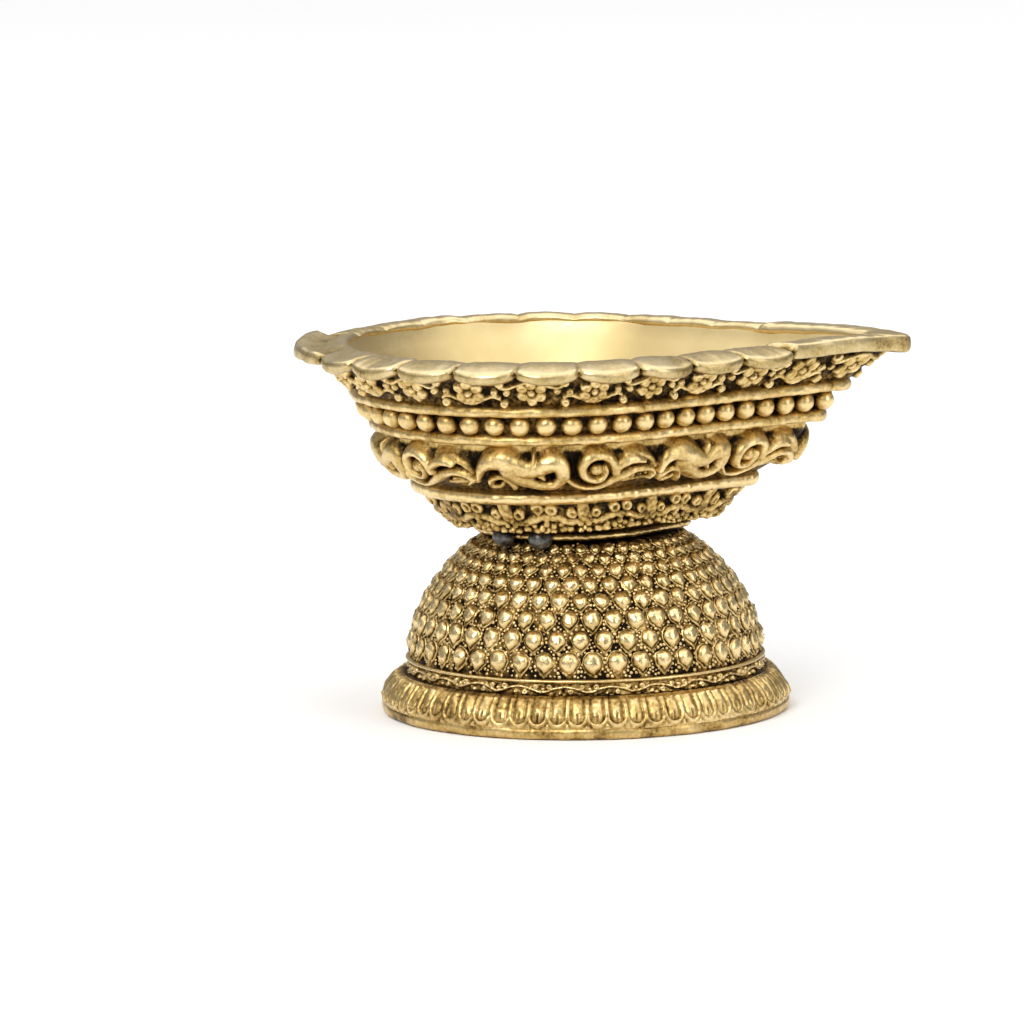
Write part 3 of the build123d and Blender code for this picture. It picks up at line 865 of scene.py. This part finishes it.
def dome_ground():
    """Rough ground of the dome, with granules strewn between the studs."""
    section = dome_profile()
    around = 450
    shares = round_shares(around)
    rough = mottle(len(section), around, 1.2, 51)
    rings, wear_and_painted_light, bare = [], [], []
    for index, (radius, z) in enumerate(section):
        outer = index < DOME_STEPS
        rings.append(ring_edge(radius, z, shares))
        if outer and index:
            rings[-1][:, :2] *= (1 + 0.05 * rough[index] / radius)[:, None]
        wear_and_painted_light.append(0.14 + 0.17 * rough[index] if outer else np.full(around, 0.3))
        bare.append(bare_ground(radius, z, shares) * outer)
    mesh = closed_rings("dome_ground", rings, wear_and_painted_light)
    point_layer(mesh, "bare", np.stack(bare))
    ground = finished("foot_dome", mesh, FOOT_BRASS)

    points, faces = ball_points(6, 3)
    shine = unit(0.41 + 0.46 * points[:, 2])
    granule = template("granule", points * [1, 1, 0.7], faces, shine, FOOT_BRASS)
    inputs = {
        "Granule": granule, "Spacing": 0.36 * MM, "Density": 1.4e7, "Smallest": 0.12, "Largest": 0.29,
        "Seed": 5, "Finish": FOOT_BRASS,
    }
    strewn = grown_mesh("granules", mesh.copy(), GRANULES, inputs)
    return ground, finished("foot_granules", strewn, FOOT_BRASS)


# Bowl


def bowl_shell():
    """Bowl with a plain outer wall behind the ornament and a smooth inside with a rounded floor edge."""
    around = 360
    levels = (20.2, 21.2, 22.2, 23.4, 24.6, 25.7, 27.0, 28.7, 30.4, 32.0, 33.0, 34.0, 35.0, 36.0, 38.0)
    leaves = [(wall_leaf(z), 0.16) for z in (*levels, LIP[0])]
    for z, inset in ((40.9, 0.0), (41.0, 0.5), (41.0, 1.25), (40.85, 1.42)):
        leaves.append(((z, *[span - inset for span in LIP[1:4]], NOSE), 0.4))
    inner = (len(leaves) - 2) * around
    flared = 13.2
    top = LIP[0] - BOWL_FLOOR
    rises = (top, 16.2, 14.7, 13.2, 11.7, 10.2, 8.7, 7.2, 6.0, 4.8, 3.6, 2.4, 1.6, 1.0, 0.6, 0.3, 0.1, 0.02)
    for rise in rises:
        z = BOWL_FLOOR + rise
        turn = min(rise / FLOOR_ROUND, 1)
        grow = LIP_FLARE * max((rise - flared) / (top - flared), 0) - 1 + sqrt(turn * (2 - turn))
        leaves.append(((z, *[span + grow for span in inside_leaf(z)[1:4]], NOSE), 0.9))
    floor = [span - 0.8 for span in inside_leaf(BOWL_FLOOR)[1:4]]
    for share in (0.9, 0.6, 0.3):
        leaves.append(((BOWL_FLOOR, *[span * share for span in floor], NOSE * share), 0.9))
    rings = [leaf_edge(leaf, round_shares(around))[0] for leaf, _ in leaves]
    points = np.concatenate([*rings, [[0.3, 0, BOWL_FLOOR], [0, 0, SEAT[0]]]])
    polish = np.concatenate([*[np.full(around, bright) for _, bright in leaves], [0.9, 0.2]])
    count = len(rings) * around
    last = count - around
    faces = ring_faces(len(rings), around)
    faces += [(last + k, last + (k + 1) % around, count) for k in range(around)]
    faces += [((k + 1) % around, k, count + 1) for k in range(around)]
    mesh = new_mesh("bowl_shell", points, faces, polish)
    mesh.materials.append(BOWL_BRASS)
    mesh.materials.append(SATIN_BRASS)
    slots = [1 if min(face) >= inner and count + 1 not in face else 0 for face in faces]
    mesh.polygons.foreach_set("material_index", slots)
    return finished("bowl_body", mesh, BOWL_BRASS)


def lobe_swell(run, half_length):
    """How far the rim swells at places along its edge from the tip: lobe share 0 to 1, and bulge."""
    step = (LAST_NOTCH - FIRST_NOTCH) / LOBES
    phase = np.mod(np.clip((run - FIRST_NOTCH) / step, 0, LOBES - 1e-6), 1)
    lobe = np.sqrt(unit(1 - (2 * phase - 1) ** 2))
    tab = np.sqrt(unit(1 - ((half_length - run) / (half_length - LAST_NOTCH)) ** 2))
    on_lobe = (run >= FIRST_NOTCH) & (run < LAST_NOTCH)
    share = np.where(on_lobe, lobe, np.where(run >= LAST_NOTCH, tab, 0))
    bulge = np.where(on_lobe, LOBE_BULGE * lobe, np.where(run >= LAST_NOTCH, TAB_BULGE * tab, 0))
    return share, bulge


def scalloped_rim():
    """Rim with drooping arched lobes, a dished wider lobe at the back and a plain blunt spout."""
    around = 1400
    shares = round_shares(around)
    inner, _ = leaf_edge(MOUTH, shares)
    outer, outwards = leaf_edge(RIM_EDGE, shares)
    length = leaf_length(RIM_EDGE)
    run = np.minimum(shares, 1 - shares) * length
    share, bulge = lobe_swell(run, length / 2)
    spout = unit((FIRST_NOTCH - run) / 0.8)
    nose = unit(1 - run / 6.0)
    tab = unit((run - LAST_NOTCH) / 1.5)
    hook = unit((run - length / 2 + 4.5) / 4.5)
    drop = 0.78 * share * (1 - tab) + tab * (0.1 + 0.6 * hook) + 0.3 * nose**2
    thick = 0.4 * spout + 0.25 * nose + 0.18 * share * (1 - spout)
    notch = unit(1 - share * 2.0) * (1 - spout)
    arch = 0.32 * (1 - share) * (1 - spout) * (1 - tab)
    waves = ((10.0, 61), (3.0, 62), (16.0, 63))
    wobble, fine, ragged = (mottle(3, around, size, seed)[1] for size, seed in waves)
    # across the rim, from its inner edge over the top to the outer edge and back underneath:
    # share of the way out, depth below the top, share of the droop that it takes, and brightness
    # In the brightness column, the bright stripe on the rounded outer edge is a painted highlight and the
    # dark underside is painted shade.
    section = [
        (0.0, 0.95, 0.0, 0.8), (-0.02, 0.7, 0.0, 0.84), (0.01, 0.4, 0.05, 0.84), (0.06, 0.17, 0.1, 0.86),
        (0.14, 0.05, 0.1, 0.8), (0.3, 0.0, 0.12, 0.74), (0.5, 0.0, 0.25, 0.72), (0.7, 0.0, 0.6, 0.74),
        (0.84, 0.03, 0.9, 0.82), (0.93, 0.1, 1.0, 0.98), (0.985, 0.26, 1.0, 0.8), (1.0, 0.5, 1.0, 0.62),
        (1.0, 0.75, 1.0, 0.6), (0.99, 1.0, 1.0, 0.64), (0.95, 1.2, 1.0, 0.74), (0.86, 1.28, 1.0, 0.3),
        (0.6, 1.25, 0.7, 0.1), (0.3, 1.25, 0.3, 0.05), (0.05, 1.25, 0.0, 0.05),
    ]
    rings, wear_and_painted_light = [], []
    for out, below, droop, bright in section:
        beyond = max(out, 0)
        upper = below < 0.6
        lean = 0.02 * ragged * (out < 0.1) * (0.2 < below)
        spot = inner + (outer - inner) * (out + lean)[:, None]
        spot = spot + outwards * (bulge * beyond**1.5 + 0.06 * wobble * beyond)[:, None]
        dish = 0.75 * tab * max(0.0, 1 - ((out - 0.55) / 0.32) ** 2) * (below < 0.2)
        cleft = 0.5 * notch * max(0.0, 1 - abs(out - 0.9) / 0.45) * upper
        roll = 0.3 * tab * max(0.0, 1 - abs(out - 0.92) / 0.14) * upper
        depth = below * (1 + thick * (out > 0.4)) + dish + cleft - roll + arch * upper
        spot[:, 2] = RIM_TOP - depth - droop * drop + 0.05 * wobble * (out > 0) + 0.025 * fine
        spot[:, 2] += 0.08 * beyond * tab * np.minimum(spot[:, 1] + 1.0, 0)
        if out < 0.1 and below > 0.5:
            spot[:, 2] += 0.1 * ragged
        rings.append(spot)
        # The clefts between the lobes are darkened with painted shade.
        tone = bright - 0.75 * notch * (out > 0.55) - 0.35 * dish + 0.07 * wobble + 0.04 * fine
        wear_and_painted_light.append(unit(tone))
    faces = [tuple(reversed(face)) for face in ring_faces(len(rings), around, closed=True)]
    mesh = new_mesh("scalloped_rim", np.stack(rings), faces, np.stack(wear_and_painted_light))
    return finished("bowl_scalloped_rim", mesh, RIM_BRASS)


def moulding(name, low, high, reach, seed, shine=0.4):
    """Round moulding along the bowl's wall between two outlines, a little uneven."""
    rows, columns = 13, 1100
    swell = half_round(rows)
    height = reach * swell + 0.045 * mottle(rows, columns, 2.2, seed) * swell
    wear_and_painted_light = unit(shine + 0.36 * swell + 0.07 * mottle(rows, columns, 2.5, seed + 1))
    return wrapped(name, height, wear_and_painted_light, (wall_rail(low), wall_rail(high)), BOWL_BRASS, sink=0.3)


def wall_moulding(name, z, seed, longer=0.0, shine=0.4, half=0.62):
    """Moulding round the wall at a height, a little longer towards the tip where asked."""
    leaves = (wall_leaf(level) for level in (z - half, z + half))
    low, high = ((*leaf[:3], leaf[3] + longer, leaf[4]) for leaf in leaves)
    return moulding(name, low, high, MOULDING_REACH, seed, shine)


def bowl_foot_ring():
    """Ring round the bowl's bottom."""
    z, *reach = FOOT_RING
    return moulding("bowl_foot_moulding", (z - 0.4, *reach), (z + 0.45, *reach), FOOT_RING_REACH, 231)


def bead_row():
    """Beads between the upper and the middle moulding."""
    points, faces = ball_points(16, 8)
    shine = unit(0.42 + 0.5 * points[:, 2])
    bead = template("bead_template", points * BEAD_RADIUS + [0, 0, BEAD_OUT], faces, shine, BOWL_BRASS)
    inputs = {
        "Bead": bead, "Edge": wall_rail(wall_leaf(BEAD_HEIGHT)), "Count": BEADS,
        "Lean": float(pi / 2 + WALL_LEAN), "Unevenness": 0.03, "Seed": 3, "Finish": BOWL_BRASS,
    }
    mesh = grown_mesh("bead_row", bpy.data.meshes.new("none"), BEAD_LINE, inputs)
    return finished("bowl_beads", dented(mesh, depth=0.03, size=1.6, seed=4), BOWL_BRASS)


def band_cell(band, count, columns, rows):
    """Width of one cell of a band round the wall, its height up the wall, and a grid over it."""
    low, high = band
    width = leaf_length(wall_leaf((low + high) / 2)) / count
    tall = hypot(high - low, wall_leaf(high)[1] - wall_leaf(low)[1])
    return width, tall, *cell_grid(columns, rows, width, tall)


def upper_flower_band():
    """Flowers under the rim, with a tendril passing over one and under the next, ending in small curls."""
    width, _, x, y = band_cell(UPPER_BAND, FLOWERS, columns=62, rows=42)
    y = y - 0.12
    half = width / 2

    def cell(side):
        bar = [(-half - 0.2, 1.0), (-half + 0.7, 0.55), (-1.5, 0.95), (0, 1.55)]
        bar += [(-px, py) for px, py in reversed(bar[:3])]
        layers = [blossom(x, y, 0, 0, 1.72, 0.68, 6, 0.5)]
        layers.append(drawn_wire(x, y, [(px, py * side, 0.24, 0.52) for px, py in bar]))
        for place in (-half, half):
            for px, py in ((0.15, 1.25), (0.25, -1.5)):
                layers.append(curl(x, y, place + px, py, 0.5, 0.2, 0.62))
            for px, py in ((-0.62, -0.05), (0.72, -0.1)):
                layers.append(curl(x, y, place + px, py, 0.4, 0.17, 0.5))
        return highest(*layers)

    over, under = cell(1), cell(-1)
    height = np.concatenate([under if index % 2 else over for index in range(FLOWERS)], axis=1)
    height = roughened(height, 0.14, 8.0, 0.03, 1.2, 71)
    wear_and_painted_light = unit(rubbed(height, 5.0, 0.75) + 0.25 * (height - 0.45) - 0.05)
    z, side, back, tip, nose = wall_leaf(UPPER_BAND[0])
    lower = wall_rail((z, side, back + 0.6, tip + 0.4, nose))
    upper = wall_rail((UPPER_BAND[1], LIP[1] + 0.9, LIP[2] + 1.5, LIP[3] + 1.4, LIP[4]))
    return wrapped("bowl_upper_flowers", height, wear_and_painted_light, (lower, upper), BOWL_BRASS)


def wave_scroll(x, y):
    """Scroll that arches over a small curl, dips under a horn, and ends in an arch round a narrow eye."""
    crest = [
        (-4.95, -0.25, 0.3), (-4.5, 0.95, 0.6), (-3.7, 1.7, 0.95), (-2.6, 1.85, 1.2), (-1.55, 1.35, 1.3),
        (-0.5, 0.8, 1.25), (0.45, 0.75, 1.1), (1.2, 0.95, 1.05), (2.0, 1.45, 1.15), (2.75, 1.5, 1.15),
        (3.3, 0.85, 0.95), (3.45, -0.1, 0.8),
    ]
    stem = [
        (-1.65, 0.6, 1.3), (-0.95, -0.2, 1.2), (0.1, -0.95, 0.95), (1.3, -1.4, 0.8), (2.6, -1.35, 0.75),
        (3.3, -0.6, 0.75),
    ]
    tucked = [
        (-1.5, -1.9, 0.4), (-1.9, -0.85, 0.5), (-2.55, -0.3, 0.5), (-3.3, -0.35, 0.48), (-3.9, -0.9, 0.45),
        (-3.85, -1.7, 0.42), (-3.0, -1.55, 0.4), (-2.65, -1.1, 0.34),
    ]
    tongue = [(0.9, 0.6, 0.6), (1.35, 0.0, 0.42), (1.6, -0.3, 0.26)]
    horn = [(0.5, 1.3, 0.5), (0.6, 1.95, 0.36), (0.66, 2.5, 0.2)]
    bold = strokes(x, y, [(1.65, crest), (1.55, stem), (1.5, tongue)], 0.34)
    return highest(bold, strokes(x, y, [(1.25, tucked), (1.3, horn)], 0.45))


def volute_scroll(x, y):
    """Scroll with a large round curl and a forked leaf, on a stem that comes from the wave before it."""
    coil = [
        (-0.8, 0.3, 0.6), (-1.2, 1.45, 0.6), (-1.85, 2.1, 0.6), (-2.8, 2.35, 0.62), (-3.75, 1.95, 0.6),
        (-4.2, 1.0, 0.58), (-3.9, -0.1, 0.54), (-3.0, -0.7, 0.46), (-2.15, -0.45, 0.4), (-1.8, 0.35, 0.34),
        (-2.0, 1.1, 0.28),
    ]
    stem = [
        (-5.5, -0.6, 0.36), (-4.85, -1.25, 0.38), (-3.95, -1.75, 0.36), (-2.6, -1.85, 0.4),
        (-1.45, -1.25, 0.55), (-0.35, -0.55, 0.75), (0.75, 0.1, 0.66), (1.85, 0.45, 0.55),
        (3.0, 0.3, 0.52), (3.85, -0.45, 0.44), (3.4, -1.0, 0.32),
    ]
    leaf = [(-0.75, 0.8, 0.6), (0.0, 1.4, 0.66), (0.95, 1.7, 0.66), (2.0, 1.5, 0.42)]
    shoulder = [(0.5, 2.15, 0.42), (1.85, 2.05, 0.5), (3.0, 1.4, 0.5), (3.95, 0.4, 0.4)]
    under = [(0.6, -1.4, 0.36), (2.1, -1.2, 0.44), (4.0, -1.15, 0.34)]
    grains = ((0.2, 2.2, 0.36), (1.5, -0.7, 0.4), (2.3, -0.55, 0.36), (3.0, -0.5, 0.3))
    return highest(
        strokes(x, y, [(1.6, coil), (1.5, stem), (1.55, leaf)], 0.36),
        strokes(x, y, [(1.05, shoulder), (0.85, under)], 0.4),
        button(x, y, -2.7, 0.6, 0.86, 1.5, 0.4),
        *[button(x, y, px, py, size, 1.0) for px, py, size in grains],
    )


def scroll_band():
    """Large leaf scrolls of two kinds in turn between the lower and the middle moulding."""
    columns, rows = 108, 72
    width, tall, x, y = band_cell(SCROLL_BAND, SCROLLS, columns, rows)
    y = y - 0.4

    def cell(here, beside):
        return highest(here(x, y), beside(x - width, y), beside(x + width, y))

    pair = [cell(wave_scroll, volute_scroll), cell(volute_scroll, wave_scroll)]
    height = np.concatenate(pair * (SCROLLS // 2), axis=1)
    height = roughened(height, 0.05, 16.0, 0.03, 3.0, 81)
    height = height + 0.015 * mottle(*height.shape, 1.2, 83)
    slope = np.gradient(height, axis=0) * rows / tall
    wear_and_painted_light = 0.06 + 0.44 * rubbed(height, 9.0, 1.3) + 0.34 * unit(height / 1.5)
    # Painted light: the upper flanks of the scrolls, under the rim, are darkened as shade and the lower
    # flanks are lightened as highlight.
    wear_and_painted_light = wear_and_painted_light + 0.06 * np.clip(slope, -2.0, 0.8)
    up = np.linspace(0, 1, rows)[:, None]
    ledge = (0.6 + 0.05 * mottle(*height.shape, 6.0, 84)) * unit((up - 0.84) / 0.05)
    height = height + unit(np.sin(pi * up**1.3)) ** 0.7
    rails = [wall_rail(wall_leaf(z)) for z in SCROLL_BAND]
    return wrapped("bowl_scrolls", height, unit(highest(wear_and_painted_light, ledge)), rails, BOWL_BRASS)


def lower_flower_band():
    """Square posts between curls, drooping bars, small flowers and beads on the bowl's underside."""
    columns, rows = 96, 56
    width, _, x, y = band_cell(LOWER_BAND, LOWER_FLOWERS, columns, rows)
    half = width / 2

    def cell(seed):
        rng = np.random.default_rng(seed)
        lean = rng.uniform(-0.12, 0.12)
        post = [(lean, 0.5, 0.8, 0.62), (0, 1.1, 0.72, 0.66), (0, 2.4, 0.62, 0.6)]
        bar = [
            (0.7, 0.0, 0.36, 0.55), (1.7, -0.1, 0.42, 0.6), (2.8, 0.35, 0.42, 0.62),
            (half + 0.2, 0.75, 0.36, 0.58),
        ]
        layers = [drawn_wire(x, y, post, 0.2), blossom(x, y, 0, -0.75, 1.05, 0.66, 4, 0.8)]
        for side in (-1, 1):
            layers += [
                curl(x, y, 1.3 * side, 0.85 + lean, 0.66, 0.3, 0.6),
                drawn_wire(x, y, [(px * side, *rest) for px, *rest in bar], 0.3),
                curl(x, y, (half - 0.7) * side, 1.55 - lean, 0.72, 0.3, 0.62),
                button(x, y, half * side, 0.35, 0.5, 0.62),
                blossom(x, y, half * side, -0.85, 1.05, 0.62, 5, 0.4),
                button(x, y, (half - 1.5) * side, -0.45, 0.42, 0.55),
            ]
        for px in (-2.6, -1.6, 1.6, 2.6):
            jx, jy = rng.uniform(-0.22, 0.22, 2)
            radius, tall = rng.uniform(0.5, 0.68), rng.uniform(0.5, 0.66)
            layers.append(button(x, y, px + jx, -1.05 + jy, radius, tall))
        return highest(*layers)

    height = np.concatenate([cell(90 + index) for index in range(LOWER_FLOWERS)], axis=1)
    height = np.roll(height, -columns // 10, axis=1)
    height = roughened(height, 0.14, 9.0, 0.04, 1.6, 91)
    wear_and_painted_light = unit(rubbed(height, 5.0, 0.72) + 0.1 * (height - 0.4) - 0.1)
    up = np.linspace(0, 1, rows)[:, None]
    belly = 0.95 * np.interp(up, (0, 0.1, 0.22, 0.4, 1), (0, 0.6, 0.95, 0.8, 0))
    height = height * np.clip((up - 0.06) / 0.2, 0.1, 1) + belly
    rails = [wall_rail(wall_leaf(z)) for z in LOWER_BAND]
    return wrapped("bowl_lower_flowers", height, wear_and_painted_light, rails, BOWL_BRASS)


def solder_lumps():
    """Two uneven lumps of solder in the corner between the dome and the bowl."""
    ball, ball_faces = ball_points(28, 15)
    points, faces = [], []
    for lump, angle in enumerate(TACK_ANGLES):
        rng = np.random.default_rng(100 + lump)
        lumpy = np.ones(len(ball))
        for _ in range(14):
            towards = rng.standard_normal(3)
            towards /= np.linalg.norm(towards)
            lumpy += rng.uniform(-0.13, 0.13) * np.exp(-((1 - ball @ towards) / 0.18))
        turn = radians(angle)
        _, half, back, *_ = FOOT_RING
        reach = half + TACK_OUT
        middle = np.array([half - back + reach * cos(turn), reach * sin(turn), TACK_HEIGHT])
        start = len(points)
        points.extend(ball * lumpy[:, None] * [TACK_RADIUS, TACK_RADIUS, TACK_RADIUS * 0.92] + middle)
        faces += [tuple(start + k for k in face) for face in ball_faces]
    return finished("solder_lumps", new_mesh("solder_lumps", np.array(points), faces), GREY_SOLDER)


# Pieces

pieces = [
    (base_ring(), "foot_brass", ["base_ring"]),
    (petal_ring(), "foot_brass", ["base_petals"]),
    (filigree_band(), "foot_brass", ["filigree_band"]),
    (dome_wire(), "foot_brass", ["dome_wire"]),
    (bowl_shell(), "bowl_brass", ["bowl_shell"]),
    (scalloped_rim(), "rim_brass", ["scalloped_rim"]),
    # The lower moulding's higher shine is painted light, lifting it out of the shade that the scrolls cast on
    # it.
    (
        wall_moulding("bowl_lower_moulding", LOWER_MOULDING, 201, shine=0.58, half=0.76),
        "ornament_brass", ["lower_moulding"],
    ),
    (
        wall_moulding("bowl_middle_moulding", MIDDLE_MOULDING, 211, longer=0.7),
        "ornament_brass", ["middle_moulding"],
    ),
    (wall_moulding("bowl_upper_moulding", UPPER_MOULDING, 221), "ornament_brass", ["upper_moulding"]),
    (bowl_foot_ring(), "ornament_brass", ["bowl_foot_ring"]),
    (bead_row(), "ornament_brass", ["bead_row"]),
    (upper_flower_band(), "ornament_brass", ["upper_flowers"]),
    (lower_flower_band(), "ornament_brass", ["lower_flowers"]),
    (scroll_band(), "ornament_brass", ["scroll_band"]),
    (solder_lumps(), "solder", ["solder_tacks"]),
]
pieces += [(row, "foot_brass", [f"stud_row_{number}"]) for number, row in enumerate(stud_rows(), 1)]
ground, granules = dome_ground()
pieces += [(ground, "foot_brass", ["dome_shell"]), (granules, "foot_brass", [])]

for piece, slot, nodes in pieces:
    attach(piece, "root")
    if nodes:
        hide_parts(*nodes)

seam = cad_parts["solder_seam"]
seam.data.materials.clear()
seam.data.materials.append(GREY_SOLDER)

for helper in helpers:
    bpy.data.objects.remove(helper)


# Stage, light and camera


def studio_floor():
    data = bpy.data.meshes.new("studio_floor")
    data.from_pydata([(-4, -4, 0), (4, -4, 0), (4, 6, 0), (-4, 6, 0)], [], [(0, 1, 2, 3)])
    data.materials.append(pale_floor())
    floor = linked("studio_floor", data)


def soft_light(name, place, aim, size, watts):
    """Rectangular lamp at a place, turned to a point."""
    data = bpy.data.lights.new(name, "AREA")
    data.shape = "RECTANGLE"
    data.size, data.size_y = size
    data.energy = watts
    lamp = linked(name, data)
    lamp.location = place
    lamp.rotation_euler = (Vector(aim) - Vector(place)).to_track_quat("-Z", "Y").to_euler()


def studio_camera():
    """Camera from the front, a little above the rim, with a long lens."""
    distance, elevation, roll = 1.0, radians(8.2), radians(-0.85)
    sensor, picture_width, pixels_per_mm = 36.0, 1024, 9.02
    aim = Vector((-7.91, 0.0, 22.02)) * MM
    data = bpy.data.cameras.new("camera")
    data.sensor_width = sensor
    data.lens = pixels_per_mm * distance / MM * sensor / picture_width
    camera = linked("camera", data)
    camera.location = aim + distance * Vector((0, -cos(elevation), sin(elevation)))
    look = (aim - camera.location).to_track_quat("-Z", "Y")
    camera.rotation_euler = (look @ Quaternion((0, 0, 1), roll)).to_euler()
    bpy.context.scene.camera = camera


def studio_world():
    """Even pale surroundings, lighter overhead."""
    world = bpy.data.worlds.new("studio")
    world.use_nodes = True
    world.node_tree.nodes.clear()
    add = node_maker(world.node_tree)
    towards = add("ShaderNodeTexCoord").outputs["Generated"]
    up = add("ShaderNodeSeparateXYZ", Vector=towards).outputs["Z"]
    sky = colours(add, up, (0.0, (0.6, 0.6, 0.6)), (0.8, (0.9, 0.9, 0.9)))
    back = add("ShaderNodeBackground", Color=sky, Strength=0.45)
    add("ShaderNodeOutputWorld", Surface=back.outputs[0])
    bpy.context.scene.world = world


studio_floor()
studio_world()
soft_light("ceiling_panel", (0, 0.35, 1.6), (0, 0.35, 0), (3.0, 3.0), 38.0)
soft_light("key_light", (-0.3, -0.7, 0.6), (0, 0, 0.02), (0.45, 0.45), 4.5)
soft_light("side_light", (-1.0, -0.1, 0.6), (0, 0, 0.03), (0.6, 0.6), 0.5)
soft_light("fill_light", (0.6, -0.5, 0.35), (0, 0, 0.02), (0.4, 0.5), 1.6)
studio_camera()
bpy.context.scene.view_settings.view_transform = "Standard"
